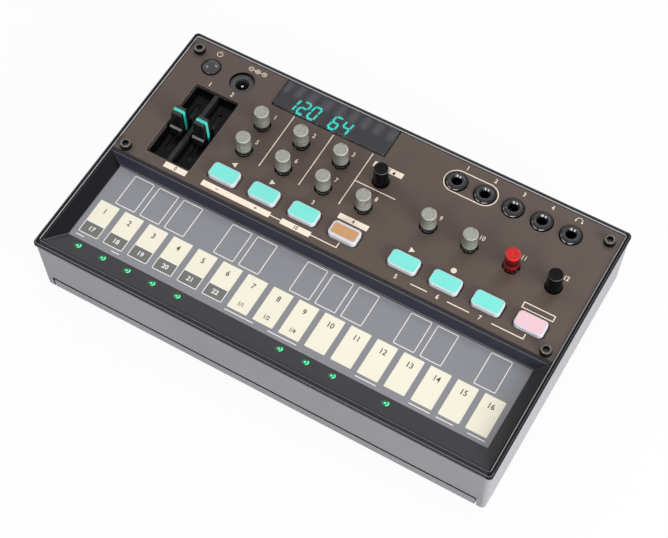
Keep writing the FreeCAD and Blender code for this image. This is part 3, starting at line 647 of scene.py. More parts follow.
def upperCaseShape():
    s = upperCaseSet
    split = case["split"]
    levels = [(caseOutline(0.12, "rimCorner"), split), (caseOutline(0, "rimCorner"), split + 0.12)]
    levels += [(caseOutline(inset, "rimCorner"), case["top"] - fall) for inset, fall in roundOver(s["rimRound"], 6)]
    rim = carve(stack("upperCase", levels), [slab("tool", *s["opening"], 30.0, 35.0)])
    top = deck["bottom"]
    lip = carve(caseStack("lip", (1.25, 28.5), (1.25, top)), [caseStack("tool", (3.15, 27.5), (3.15, 32.6))])
    ledge = carve(slab("ledge", *s["ledge"], 30.0, top), [slab("tool", *s["opening"], 29.0, 35.0)])
    walls = stack("walls", [(roundedOutline(-90.9, 90.9, -46.5, -8.0, 1.0, 6), 28.0),
                            (roundedOutline(-94.8, 94.8, -54.6, -6.03, 1.0, 6), top)])
    back, front = caseScrewPlaces[:2], caseScrewPlaces[2:]
    bosses = rods("boss", screwPlaces, 24.6, top, 3.2) + rods("boss", front, 22.0, 31.0, 3.2)
    bosses += rods("boss", back, boardTop, 31.0, 4.0)
    ribs = [slab("rib", *sorted((side * 89.0, side * 93.35)), 35.25, 36.75, 28.5, 30.0) for side in (-1, 1)]
    join(rim, [lip, ledge, walls] + bosses + ribs)
    outside = carve(slab("tool", -120, 120, -80, 80, 15, 31.4), [caseStack("tool", (1.25, 14), (1.25, 32))])
    pilots = rods("tool", screwPlaces, 26.3, 34.0, 1.3) + rods("tool", front + back, 19.9, 27.3, 1.55)
    return carve(rim, [outside, pocketCutter(), wellCutter()] + pilots)


def lampGlow(tree):
    # a row of small lamps shining through the well's front slope
    s = upperCaseSet
    x, y = axesOf(tree)[:2]
    pitch = keyPitch / metre
    index = x / pitch + 7.5
    nearest = mathNode("ROUND", index)
    across = (index - nearest) * pitch
    reach, row = s["lampRow"]
    away = y - row / metre

    def fade(shift, near, far):
        # 1 inside the first radius, 0 beyond the second
        right = across - shift / metre
        distance = mathNode("SQRT", right * right + away * away) * metre
        over = ((far - distance) / (far - near)).clipped()
        return over * over
    outer, inner = s["lampRing"]
    ring = (fade(*outer) - fade(*inner)).clipped() * (across > s["ringFrom"] / metre)
    shine = (fade(0.0, *s["lampHalo"]) * s["haloLevel"] + fade(0.0, *s["lampDot"]) + ring).clipped()
    lit = addNode(tree, "ValToRGB")
    feed((nearest + 0.5) / 16.0, lit.inputs[0])
    stops = lit.color_ramp.elements
    lit.color_ramp.interpolation = "CONSTANT"
    stops[1].position = 1 / 16
    for i in range(16):
        level = 1.0 if i + 1 in s["litLamps"] else 0.0
        (stops[i] if i < 2 else stops.new(i / 16)).color = (level, level, level, 1)
    return shine * (abs(x) < reach / metre) * lit.outputs["Color"]


def makeRimLook():
    s = upperCaseSet
    look = makeLook("rimGloss", s["colour"], 0.12, marks=0.03, marksScale=70.0, grainScale=900.0, specular=0.13)
    tree = look.node_tree
    facing = axesOf(tree, "Normal")
    x, y, z = axesOf(tree)
    inWell = (z < (s["wellEdge"] + 0.05) / metre) * (abs(x) < (s["wellHalfWidth"] + 0.1) / metre)
    # painted reflection and shade: one colour for each way a slope faces
    for axis, level, colour in s["slopes"]:
        twoTone(look, (facing[axis] > level if level > 0 else facing[axis] < level) * inWell, colour)
    # painted shade: darker on the left and right sides
    twoTone(look, abs(x) > (s["wellHalfWidth"] + 0.1) / metre, s["sideShade"])
    # painted highlight: pale lines along the top and bottom edges of the back slope
    ends = ((z < (sheetTop + 0.28) / metre) + (z > (s["wellEdge"] - 0.22) / metre)) * inWell
    twoTone(look, (facing[1] < -0.6) * ends, s["slopeEdgeHighlight"])
    glow = mixColour(tree, lampGlow(tree), (0.0, 0.0, 0.0, 1.0), s["lampColour"])
    return glowing(look, glow, s["lampStrength"])


def makeRim():
    # the case and two pale lines on its rim, which are painted highlights, each with its own painted tone on the
    # right side and along the front
    fit(upperCaseShape(), makeRimLook(), stands=["upper_case"], slot="rim_plastic")
    for name, (side, front), corner, width, height, (colour, right, near) in upperCaseSet["lines"]:
        x, y = case["halfWidth"] - side, case["halfDepth"]
        outline = roundedOutline(-x, x, front - y, y - side, corner, 6)
        look = makeLook(name, colour, 0.25, drift=0.1, driftScale=90.0, marks=0.05)
        where = axesOf(look.node_tree)
        # painted light: another tone on the right side and along the front
        twoTone(look, where[0] > 0.0941, right)
        twoTone(look, where[1] < -0.0545, near)
        fit(printed(name, case["top"], [(outline, width, True)], below=0.25, above=height), look)


makeRim()
print("upper case ready")

# Lower case: light grey box with its bay, grille and posts
lowerCaseSet = {"overhang": 0.3, "draft": 1.0, "bottomRound": 0.6, "colour": tint(147, 147, 153),
                # the gap colour is painted shade in the cover's seam
                "gap": tint(28, 28, 30), "gapHalfWidth": 91.9, "gapTop": 9.82, "gapBack": -53.8,
                "cellRows": (-45.55, -30.75), "bayHalfWidth": 78.35, "bayFront": -53.0, "bayBack": -23.3,
                "roofBottom": 19.7, "roofTop": 21.3, "speaker": (-50.0, 22.0), "slotPitch": 4.4, "grille": 14.5}


def outerShape(name):
    # drafted walls, wider toward the top
    s = lowerCaseSet
    low, high = case["bottom"], case["split"]

    def at(z):
        return s["overhang"] + s["draft"] * (high - z) / (high - low)
    levels = [(at(low + rise) + inset, low + rise) for inset, rise in reversed(roundOver(s["bottomRound"], 6))]
    return caseStack(name, *levels, (at(high - 0.1), high - 0.1), (s["overhang"] + 0.1, high))


def grilleCutters():
    x, y = lowerCaseSet["speaker"]
    cutters = []
    for i in range(7):
        offset = lowerCaseSet["slotPitch"] * (i - 3)
        half = math.sqrt(lowerCaseSet["grille"] ** 2 - offset ** 2)
        cutters.append(stack("tool", [(boxOutline(x, y + offset, 2 * half, 2.0, 0.98), z) for z in (2.0, 6.0)]))
    return cutters


def lowerCaseShape():
    s = lowerCaseSet
    w, front, back = s["bayHalfWidth"], s["bayFront"], s["bayBack"]
    x, y = s["speaker"]
    shell = carve(outerShape("lowerCase"), [caseStack("tool", (3.3, 5.0), (2.3, 31.5), (2.3, 33.0)),
                                            caseStack("tool", (1.1, 28.2), (1.1, 33.0))])
    extras = [carve(slab("bay", -w - 1.5, w + 1.5, front - 1.5, back + 1.5, 4.9, s["roofTop"]),
                    [slab("tool", -w, w, front, back, 2.0, s["roofBottom"])]),
              turn("seat", x, y, [(18.1, 4.9), (19.5, 4.9), (19.5, 9.0), (18.1, 9.0)], 64, True)]
    # backing behind the cover's seam, which takes its painted shade
    extras += [slab("backing", *sorted((side * 79.25, side * 93.3)), -54.5, -52.4, 3.9, 10.6) for side in (-1, 1)]
    extras += rods("post", caseScrewPlaces[:2], 4.0, 19.9, 4.0) + rods("post", caseScrewPlaces[2:], 4.0, 22.0, 4.0)
    extras += rods("pillar", [(px, py) for px in (-69, -23, 23, 69) for py in (-46, -28)], 20.7, 25.9, 2.0, 24)
    extras += rods("rest", ((-84, 0), (84, 0), (0, 48)), 4.0, 19.9, 2.0, 24)
    first = x + 18 + 4
    ribs = [first + (case["halfWidth"] - first) / 4 * i for i in range(4)]
    extras += [slab("rib", rib, rib + 1.5, -21.9, 54.3, 4.9, 9.0) for rib in ribs]
    cuts = [slab("tool", -w, w, -57.5, back, 2.0, 5.0), slab("tool", -91.85, 91.85, -58.5, -53.9, 2.0, 9.8),
            slab("tool", -w - 0.8, w + 0.8, -57.5, back, 3.6, 5.1)] + grilleCutters()
    cuts += rods("tool", caseScrewPlaces, 2.0, 12.0, 3.0) + rods("tool", caseScrewPlaces, 11.0, 23.0, 1.7)
    return carve(join(shell, extras), cuts + rods("tool", footPlaces, 2.0, 3.5, 4.75, 40))


def casePlastic(name):
    return makeLook(name, lowerCaseSet["colour"], 0.42, drift=0.02, marks=0.05, marksScale=60.0, bump=0.12,
                    grainScale=2600.0, pits=0.5)


def lowerCaseLook():
    # painted shade inside the cover's gap
    s = lowerCaseSet
    look = casePlastic("casePlastic")
    x, y, z = axesOf(look.node_tree)
    shadeInGap = (abs(x) < s["gapHalfWidth"] / metre) * (z < s["gapTop"] / metre) * (y < s["gapBack"] / metre)
    twoTone(look, shadeInGap, s["gap"])
    return look


fit(lowerCaseShape(), lowerCaseLook(), stands=["lower_case"], slot="case_plastic")
print("lower case ready")

# Battery cover: plate, front lip, runners and finger grips
coverSet = {"halfWidth": 78.05, "lipHalfWidth": 91.2, "lipTop": 8.5, "lipBack": -54.2, "back": -23.6, "ridges": 5}


def coverShape():
    s = coverSet
    w = s["halfWidth"]
    cover = slab("batteryCover", -w, w, -57.5, s["back"], 3.0, 4.8)
    join(cover, [slab("lip", -s["lipHalfWidth"], s["lipHalfWidth"], -57.5, s["lipBack"], 2.9, s["lipTop"]),
                 slab("runner", -w - 0.8, w + 0.8, s["lipBack"] - 1, s["back"], 3.9, 4.8)])
    combine(cover, [outerShape("tool")], "INTERSECT")
    grips = [stack("tool", [(boxOutline(side * 48, -48.2 + 2 * i, 24.0, 1.0, 0.49), z) for z in (2.0, 3.5)])
             for i in range(s["ridges"]) for side in (-1, 1)]
    return carve(cover, grips)


def coverLook():
    # the case's finish, with painted shade of the gap on the lip's top and end faces
    look = casePlastic("coverPlastic")
    facing = axesOf(look.node_tree, "Normal")
    lip = axesOf(look.node_tree)[1] < -0.053
    twoTone(look, ((facing[2] > 0.8) + (abs(facing[0]) > 0.8)) * lip, lowerCaseSet["gap"])
    return look


fit(coverShape(), coverLook(), "battery_cover", ["battery_cover"], "case_plastic")
print("battery cover ready")

# Front panel: satin brown plate with an opening for every control
panelSet = {"knobHole": 3.5, "jackHole": 4.6, "powerHole": 3.8, "dcHole": 5.1, "screwHole": 1.45,
            "buttonHole": (12.5, 7.5), "colour": tint(94, 81, 75),
            "power": (-81.9, 45.3), "dc": (-67.7, 45.4), "fader": (-72.7, 17.3), "faderSlot": (18.9, 35.8),
            "window": (-51.6, -1.5, 42.1, 55.3)}


def panelShape():
    s = panelSet
    x0, x1, y0 = s["window"][:3]
    w = deck["halfWidth"]
    plate = slab("frontPanel", -w, w, deck["front"], deck["back"], deck["bottom"], deck["top"], 0.5, 0.12)
    holes = []
    for places, radius, steps in ((knobPlaces, s["knobHole"], 56), (jackPlaces, s["jackHole"], 56),
                                  ([s["power"]], s["powerHole"], 56), ([s["dc"]], s["dcHole"], 56),
                                  (screwPlaces, s["screwHole"], 24)):
        holes += rods("tool", places, 30, 34, radius, steps)
    holes += [block("tool", x, y, *s["buttonHole"], 30, 34, 2.0) for x, y in buttonPlaces]
    holes.append(stack("tool", [(circleOutline(*s["dc"], s["dcHole"] + grow, 56), z)
                                for grow, z in ((-0.1, 32.15), (0.0, 32.25), (0.5, 32.75), (0.5, 33.0))]))
    holes.append(block("tool", *s["fader"], *s["faderSlot"], 30, 34, 0.5))
    holes.append(slab("tool", x0 - 0.1, x1 + 0.1, y0 - 0.1, 60.0, 30, 34))
    return carve(plate, holes)


fit(panelShape(), makeLook("panelPaint", panelSet["colour"], 0.36, drift=0.015, driftScale=30.0, marks=0.03,
                           marksScale=40.0, bump=0.05, grainScale=3500.0, specular=0.25),
    stands=["front_panel"], slot="panel_paint")
print("front panel ready")

# Marks printed on the front panel: lines, bars, plain numbers and simple signs
printSet = {"line": 0.4, "thinLine": 0.22, "colour": tint(255, 240, 220), "dark": tint(60, 52, 48),
            # the gap colour is painted shade round the controls
            "gap": tint(12, 12, 13), "numberHeight": 2.1, "squeeze": 0.82,
            "lines": [((x, 14.4), (x, 41.1)) for x in (-40.97, -23.31, -5.74)] + [
                ((-5.5, 26.9), (11.9, 26.9)), ((-25.8, -2.7), (-20.9, -2.7)),
                ((-8.2, -2.7), (3.04, -2.7), (3.04, -0.3)), ((34.5, -2.6), (41.4, -2.6)),
                ((49.8, -2.6), (58.9, -2.6)), ((68.0, -2.6), (80.8, -2.6), (80.8, -0.3))],
            "bars": ((-72.9, -63.1, -4.0, -1.5), (-56.0, -25.8, -4.0, -1.5), (-20.9, -8.2, -4.0, -1.5),
                     (-3.25, 9.4, 9.0, 11.5), (-3.25, 9.4, 36.1, 38.6)),
            "frames": ((74.5, 87.0, 9.1, 11.5, 0), (23.2, 45.35, 40.85, 50.9, 5.0, 12)),
            "arrows": ((-49.45, -1), (-32.3, 1), (28.3, 1)), "plugSign": (-67.6, -64.6, -61.6),
            "numbers": (("1", -77.8, 37.9, 2.1), ("2", -67.6, 37.9, 2.1), ("3", -14.5, 10.2, 2.0),
                        ("5", 28.3, -2.6, 2.0), ("6", 45.75, -2.6, 2.0), ("7", 63.2, -2.6, 2.0)),
            "barNumbers": (("0", -68.0, -2.75), ("10", -14.5, -2.75), ("4", 3.05, 10.25), ("32", 3.05, 37.35)),
            "barSigns": (((-49.9, -2.75), (-48.7, -2.75)), ((-32.8, -2.75), (-31.6, -2.75)),
                         ((-32.2, -3.35), (-32.2, -2.93)), ((-32.2, -2.57), (-32.2, -2.15)))}


def arcPoints(x, y, radius, start, end, steps=20):
    angles = [math.radians(start + (end - start) * i / steps) for i in range(steps + 1)]
    return [(x + radius * math.cos(a), y + radius * math.sin(a)) for a in angles]


def panelPrints():
    s = printSet
    strokes = [(points, s["line"], False) for points in s["lines"]]
    strokes += [(roundedOutline(*frame), s["line"], True) for frame in s["frames"]]
    patches = [roundedOutline(*bar, 0) for bar in s["bars"]]
    patches += [[(x + way * 1.15, 10.3), (x - way, 11.5), (x - way, 9.1)] for x, way in s["arrows"]]
    patches.append(circleOutline(45.75, 10.3, 1.15, 28))
    # power sign, plug sign and headphone sign
    signs = [arcPoints(-82.3, 52.6, 1.15, 120, 420), [(-82.3, 52.8), (-82.3, 54.2)],
             arcPoints(76.5, 53.0, 1.25, 0, 180)]
    left, middle, right = s["plugSign"]
    dashes = ((left, 0.5), (right, 0.5), (-66.1, 0.4), (-63.1, 0.4))
    signs += [[(x - half, 52.6), (x + half, 52.6)] for x, half in dashes]
    signs += [[(right, 52.1), (right, 52.48)], [(right, 52.72), (right, 53.1)]]
    strokes += [(points, s["thinLine"], False) for points in signs]
    strokes += [(circleOutline(x, 52.6, 0.95, 24), s["thinLine"], True) for x in s["plugSign"]]
    patches.append(circleOutline(middle, 52.6, 0.4, 16))
    patches += [boxOutline(x, 52.6, 0.5, 0.95) for x in (75.2, 77.8)]
    figures = [(str(i + 1), x + 2.6, y + 5.4, s["numberHeight"]) for i, (x, y) in enumerate(knobPlaces)]
    figures += [(str(i + 1), x + 1.0, 53.2, 1.9) for i, (x, y) in enumerate(jackPlaces[:4])]
    figures += s["numbers"]
    return printed("panelPrints", deck["top"], strokes, patches, [(*figure, s["squeeze"]) for figure in figures])


def barFigures():
    # dark numbers and signs on the printed bars
    s = printSet
    return printed("barFigures", deck["top"], [(points, 0.3, False) for points in s["barSigns"]],
                   figures=[(*number, 1.75, s["squeeze"]) for number in s["barNumbers"]], below=0, above=0.05)


def controlGapShades():
    # painted shade: a dark gap at the ends of each push button, and round the power button and the window
    strokes = []
    width, depth = panelSet["buttonHole"]
    for x, y in buttonPlaces:
        around = boxOutline(x, y, width + 0.25, depth + 0.25, 2.1, 6)
        strokes += [(part, 0.36, False) for part in (around[10:18], around[24:] + around[:4])]
    strokes.append((circleOutline(*panelSet["power"], panelSet["powerHole"] + 0.15, 48), 0.4, True))
    x0, x1, y0, y1 = panelSet["window"]
    x0, x1, y0 = x0 - 0.25, x1 + 0.25, y0 - 0.25
    strokes.append(([(x0, y1), (x0, y0), (x1, y0), (x1, y1)], 0.42, False))
    return printed("controlGapShades", deck["top"], strokes)


fit(panelPrints(), makeLook("printInk", printSet["colour"], 0.45, drift=0.02, driftScale=300.0, bump=0.04))
fit(barFigures(), makeLook("darkInk", printSet["dark"], 0.5, driftScale=300.0, bump=0.04))
fit(controlGapShades(), makeLook("gapShade", printSet["gap"], 0.45, driftScale=300.0, bump=0.04, specular=0.2))
print("panel prints ready")

# Touch keys: cream keys, white outlines and dark numbers on the grey sheet
keySet = {"width": 8.5, "front": -42.1, "shortFront": -36.6, "back": -26.3, "outlineFront": -24.9,
          "outlineBack": -10.8, "plateHalfWidth": 4.1, "gaps": (1, 2, 3, 5, 6, 8, 9, 10, 12, 13, 15),
          "rules": ((-86.8, -83.2), (-70.9, -67.3), (-20.8, -8.5), (-2.4, 9.9), (34.4, 43.0), (56.4, 65.0),
                    (67.4, 74.4), (80.0, 87.0)), "sheetEdge": (89.22, -45.0, -9.68),
          "sheet": tint(138, 139, 145), "cream": tint(250, 245, 224), "line": tint(250, 250, 247),
          # the gap colour is painted shade along the sheet's edges
          "plate": tint(112, 111, 108), "ink": tint(70, 66, 60), "gap": tint(22, 22, 24)}


def makeKeys():
    s = keySet
    half = s["width"] / 2
    short, long = keyColumns[:6], keyColumns[6:]
    caps = [roundedOutline(x - half, x + half, s["shortFront"], s["back"], 0.35, 3) for x in short]
    caps += [roundedOutline(x - half, x + half, s["front"], s["back"], 0.35, 3) for x in long]
    w = s["plateHalfWidth"]
    plates = [roundedOutline(x - w, x + w, s["front"] + 0.15, s["shortFront"], 0.3, 3) for x in short]
    middles = [(keyColumns[gap - 1] + keyColumns[gap]) / 2 for gap in s["gaps"]]
    lines = [(roundedOutline(x - half, x + half, s["outlineFront"], s["outlineBack"], 0.3, 3), 0.32, True)
             for x in middles]
    lines += [(plate, 0.32, True, 0.01) for plate in plates]
    lines += [([(x0, -43.5), (x1, -43.5)], 0.35, False) for x0, x1 in s["rules"]]
    figures = [(str(i + 1), x, -30.2, 2.4, 0.9) for i, x in enumerate(keyColumns)]
    figures += [(text, x, -39.0, 1.8, 0.82) for x, text in zip(long, ("1/1", "1/2", "1/4"))]
    low = [(str(i + 17), x, -39.3, 2.0, 1.0) for i, x in enumerate(short)]
    x, front, back = s["sheetEdge"]
    white = makeLook("keyWhite", s["line"], 0.45, drift=0.02, driftScale=90.0)
    fit(printed("keyCaps", sheetTop, patches=caps),
        makeLook("keyCream", s["cream"], 0.4, drift=0.015, driftScale=90.0, marks=0.05))
    fit(printed("keyLines", sheetTop, lines), white)
    fit(printed("keyPlates", sheetTop, patches=plates, above=0.02),
        makeLook("keyPlate", s["plate"], 0.4, drift=0.02, driftScale=90.0))
    fit(printed("keyFigures", sheetTop, figures=figures, below=0, above=0.05),
        makeLook("keyInk", s["ink"], 0.5, driftScale=200.0))
    fit(printed("plateFigures", sheetTop, figures=low, below=0, above=0.05), white)
    # painted shade: dark line where the sheet meets the well's sloping sides and back
    fit(printed("sheetEdges", sheetTop, [([(-x, front), (-x, back), (x, back), (x, front)], 0.34, False)]),
        makeLook("sheetGapShade", s["gap"], 0.4, driftScale=90.0))


makeKeys()
sheetLook = makeLook("sheetFilm", keySet["sheet"], 0.34, drift=0.02, driftScale=25.0, marks=0.05, marksScale=35.0,
                     grainScale=3000.0)
print("keys ready")

# Knobs: see-through caps with a pale core on dark stems; one is red and two are black
knobSet = {"top": 41.6, "bottom": 23.6, "neck": 2.25, "capBottom": 34.55, "radius": 3.0, "topRadius": 2.88,
           "edge": 0.42, "collar": 3.08, "redKnob": 11, "blackKnobs": (4, 12), "turns": {5: 17.0, 12: 30.0},
           "clear": tint(150, 150, 142), "red": tint(190, 14, 16), "black": tint(9, 9, 10),
           # the stem's dark colour is painted shade inside the panel hole
           "core": tint(176, 176, 168), "redCore": tint(80, 6, 8), "stem": tint(22, 22, 24),
           # the washer's pale grey is partly a painted highlight
           "washer": tint(84, 84, 82),
           # colours by height: a painted highlight ring at each cap's top edge, with darker and lighter bands below
           "blackHighlightBands": ((34.5, 8), (40.9, 8), (41.15, 36), (41.3, 128), (41.42, 56), (41.52, 14)),
           "clearShadingBands": ((34.5, 176), (34.95, 160), (35.05, 104), (35.25, 158), (35.9, 172), (36.25, 152),
                          (36.35, 116), (36.55, 158), (37.4, 164), (38.6, 150), (40.2, 136), (40.85, 134),
                          (41.1, 196), (41.3, 232), (41.42, 204), (41.55, 184)),
           "redShadingBands": ((34.5, (70, 6, 8)), (35.2, (120, 9, 10)), (35.8, (150, 10, 12)), (36.8, (90, 6, 8)),
                        (37.4, (52, 4, 6)), (38.4, (60, 4, 6)), (38.9, (84, 6, 8)), (40.5, (122, 8, 10)),
                        (41.0, (224, 24, 22)), (41.3, (240, 44, 38)), (41.5, (222, 18, 16)), (41.6, (208, 12, 12)))}


def knobShape(solid):
    s = knobSet
    r, z, top = s["radius"], s["capBottom"], s["top"]
    if solid:
        profile = [(0.0, s["bottom"]), (s["neck"], s["bottom"]), (s["neck"], 31.0), (r, 31.0),
                   (r + 0.12, 31.1), (r + 0.12, 34.0)]
    else:
        profile = [(0.0, z), (s["collar"] - 0.12, z), (s["collar"], z + 0.12), (s["collar"], z + 0.4), (r, z + 0.5)]
    profile += [(r - 0.01, z + 1.65), (r - 0.08, z + 1.75), (r - 0.08, z + 1.85), (r - 0.01, z + 1.95)]
    profile += [(s["topRadius"] - inset, top - fall) for inset, fall in roundOver(s["edge"], 6)]
    profile += [(s["topRadius"] - 0.8, top - 0.03), (1.3, top - 0.05), (0.0, top - 0.05)]
    cuts = [slab("tool", -0.35, 0.35, 2.0, 4.0, top - 0.5, top + 1.0)]
    if not solid:
        hollow = [(0.0, 34.0), (1.9, 34.0), (2.0, 34.9), (1.9, 38.9), (1.5, 39.7), (0.0, 39.9)]
        cuts.append(turn("tool", 0, 0, hollow, 48))
    return carve(turn("knob", 0, 0, profile, 72), cuts)


def coreShape():
    profile = [(0.0, 34.5), (1.6, 34.5), (1.5, 34.9), (1.5, 38.4), (1.2, 39.2), (0.0, 39.3)]
    return carve(turn("core", 0, 0, profile, 36), [slab("tool", -0.25, 0.25, -3, 3, 36.2, 40.0)])


def stemShape():
    r, z = knobSet["neck"], knobSet["bottom"]
    return turn("stem", 0, 0, [(0.0, z), (r - 0.15, z), (r, z + 0.15), (r, 34.4), (r - 0.1, 34.5), (0.0, 34.5)], 48)


def washerShape():
    # rolled rim round the stem, just under the panel's face; its pale metal gives a real reflection and a painted
    # highlight in the hole
    r = knobSet["neck"]
    return turn("washer", 0, 0, [(r + 0.02, 31.9), (r + 0.36, 31.9), (r + 0.42, 32.1), (r + 0.38, 32.3),
                                 (r + 0.25, 32.42), (r + 0.1, 32.42), (r + 0.02, 32.3)], 48, True)


def makeKnobs():
    s = knobSet
    clear = makeLook("smokePlastic", s["clear"], 0.16, drift=0.17, driftScale=1100.0, marks=0.05, marksScale=500.0,
                     bump=0.16, grainScale=800.0, glass=0.3, ior=1.49, coat=0.6)
    # painted highlight at the top edge, and bands by height down the side
    banded(clear, greys(s["clearShadingBands"], (0, 0, -8)))
    red = makeLook("redPlastic", s["red"], 0.14, drift=0.2, driftScale=900.0, bump=0.16, grainScale=800.0,
                   glass=0.1, ior=1.49, coat=0.25, specular=0.3)
    banded(red, [(z, tint(*colour)) for z, colour in s["redShadingBands"]])
    black = makeLook("blackKnob", s["black"], 0.16, bump=0.06, specular=0.12)
    banded(black, greys(s["blackHighlightBands"], (0, 0, 1)))
    core, redCore = [makeLook(name, s[kind], 0.35, drift=0.08, driftScale=900.0, bump=0.1)
                     for name, kind in (("knobCore", "core"), ("redCore", "redCore"))]
    # dark stem: painted shade in the panel hole
    stem = makeLook("knobStem", s["stem"], 0.15, bump=0.04)
    washer = makeLook("stemWasher", s["washer"], 0.25, metal=0.6, drift=0.06, driftScale=400.0, bump=0.05)
    hollowKnob, solidKnob = knobShape(False), knobShape(True)
    inner = (("knobCore", coreShape(), core), ("knobStem", stemShape(), stem), ("stemWasher", washerShape(), washer))
    for number, (x, y) in enumerate(knobPlaces, 1):
        body = "knob_%d" % number
        solid, isRed = number in s["blackKnobs"], number == s["redKnob"]
        look, slot = (black, "black_gloss") if solid else (red, "red_plastic") if isRed else (clear, "smoke_plastic")
        shape = copyAt(solidKnob if solid else hollowKnob, "knob%d" % number, x, y, s["turns"].get(number, 0.0))
        fit(shape, look, body, [body], slot)
        for name, master, innerLook in () if solid else inner:
            fit(copyAt(master, "%s%d" % (name, number), x, y), redCore if isRed else innerLook, body)
    drop(hollowKnob, solidKnob, *[master for name, master, innerLook in inner])


makeKnobs()
print("knobs ready")

# Push buttons: milky bodies with a printed top
buttonSet = {"width": 11.9, "depth": 6.9, "corner": 1.7, "top": 34.6, "edge": 0.4, "body": tint(236, 240, 248),
             "cyan": tint(130, 238, 226), "tan": tint(208, 156, 108), "pink": tint(246, 204, 216),
             "order": ("cyan", "cyan", "cyan", "tan", "cyan", "cyan", "cyan", "pink")}


def buttonShape():
    s = buttonSet
    w, d, top = s["width"], s["depth"], s["top"]
    levels = [(boxOutline(0, 0, w, d, s["corner"], 8), 30.5)]
    levels += [(boxOutline(0, 0, w - 2 * inset, d - 2 * inset, s["corner"] - inset * 0.5, 8), top - fall)
               for inset, fall in roundOver(s["edge"], 5)]
    cap = join(stack("cap", levels), [block("flange", 0, 0, w + 1.8, d + 1.8, 30.5, 31.3, 1.6)])
    carve(cap, [block("tool", 0, 0, w - 2.4, d - 2.4, 29.0, top - 1.2, 0.5)])
    return join(cap, [block("stem", 0, 0, 2.6, 2.6, 29.2, top - 1.0)])


def topPrintShape(width, depth, corner):
    return stack("topPrint", [(boxOutline(0, 0, width, depth, corner, 8), buttonSet["top"] + z)
                              for z in (-0.02, 0.03)])


def makeButtons():
    s = buttonSet
    milk = makeLook("milkPlastic", s["body"], 0.22, drift=0.03, driftScale=200.0, marks=0.05, bump=0.04, glass=0.18,
                    coat=0.3)
    tops = {name: makeLook(name + "Top", s[name], 0.32, drift=0.015, driftScale=120.0, marks=0.05)
            for name in ("cyan", "tan", "pink")}
    master = buttonShape()
    full = topPrintShape(s["width"] - 0.85, s["depth"] - 0.8, 1.1)
    small = topPrintShape(10.3, 4.7, 0.8)
    for i, ((x, y), kind) in enumerate(zip(buttonPlaces, s["order"]), 1):
        body = "button_%d" % i
        fit(copyAt(master, "button%d" % i, x, y), milk, body, [body])
        fit(copyAt(small if kind == "tan" else full, "buttonTop%d" % i, x, y), tops[kind], body,
            slot=kind + "_button")
    drop(master, full, small)


makeButtons()
print("buttons ready")

# Power button: low dark dome
powerSet = {"radius": 3.5, "sideTop": 33.1, "rise": 1.2, "colour": tint(46, 46, 51)}


def powerShape():
    s = powerSet
    r = s["radius"]
    profile = [(0.0, 29.2), (1.6, 29.2), (1.6, 30.5), (4.4, 30.5), (4.4, 31.3), (r, 31.3), (r, s["sideTop"] - 0.1)]
    ball = (r ** 2 + s["rise"] ** 2) / (2 * s["rise"])
    centre = s["sideTop"] + s["rise"] - ball
    for step in range(1, 15):
        radius = r * (1 - step / 14)
        profile.append((radius, centre + math.sqrt(ball ** 2 - radius ** 2)))
    return turn("powerButton", *panelSet["power"], profile, 64)


fit(powerShape(), makeLook("powerPlastic", powerSet["colour"], 0.3, drift=0.04, marks=0.05, bump=0.04, coat=0.15),
    "power_button", ["power_button"], "black_gloss")
print("power button ready")

# Sliders: glossy tray with a centre bar, and two black levers with a teal line
sliderSet = {"floor": 29.0, "low": 28.2, "bar": 1.9, "barTop": 32.0, "leverXs": (-77.8, -67.6), "leverY": 16.3,
             "leverTop": 41.1, "line": 1.3, "tray": tint(14, 14, 16), "barColour": tint(36, 36, 39),
             # the step colour is a painted highlight on the lever's step
             "lever": tint(20, 20, 22), "step": tint(100, 100, 104), "frame": tint(10, 10, 11),
             # the frame colour is painted shade round the slot, the pale line colour a painted highlight just outside
             # it
             "hairlineHighlight": tint(122, 110, 104), "teal": tint(60, 214, 196)}


def trayShape():
    s = sliderSet
    x, y = panelSet["fader"]
    width, length = panelSet["faderSlot"]
    cuts = [block("tool", x, y, width, length, s["floor"], 34.0, 0.4)]
    for leverX in s["leverXs"]:
        cuts.append(block("tool", leverX, y, 2.0, 24.8, 27.0, 32.0, 0.9))
        cuts.append(block("tool", leverX, y, 6.4, 29.5, s["floor"] - 0.12, 32.0, 0.5))
    return carve(block("faderTray", x, y, width + 2, length + 2, s["low"], deck["bottom"]), cuts)


def barShape():
    s = sliderSet
    x, y = panelSet["fader"]
    length = panelSet["faderSlot"][1]
    bar = block("faderBar", x, y, s["bar"], length - 0.02, s["low"] + 0.02, s["barTop"], 0.05, 0.18)
    return carve(bar, [block("tool", x, y + way * (length / 2 - 4.6), 6.0, 0.25, s["barTop"] - 0.15, 34.0)
                       for way in (-1, 1)])


def leverShape():
    top = sliderSet["leverTop"]
    sizes = ((5.4, 7.8, 29.3), (5.4, 7.8, 33.4), (5.38, 7.7, 33.5), (5.34, 6.5, 34.1), (5.3, 6.35, 34.25),
             (5.1, 5.6, 36.6), (4.8, 4.7, 39.6), (4.62, 4.3, top - 0.4), (4.45, 4.1, top - 0.1), (4.25, 3.9, top))
    lever = stack("lever", [(boxOutline(0, 0, width, length, 0.35), z) for width, length, z in sizes])
    return join(lever, [block("stem", 0, 0, 1.2, 4.0, 24.3, 29.5, 0.2)])


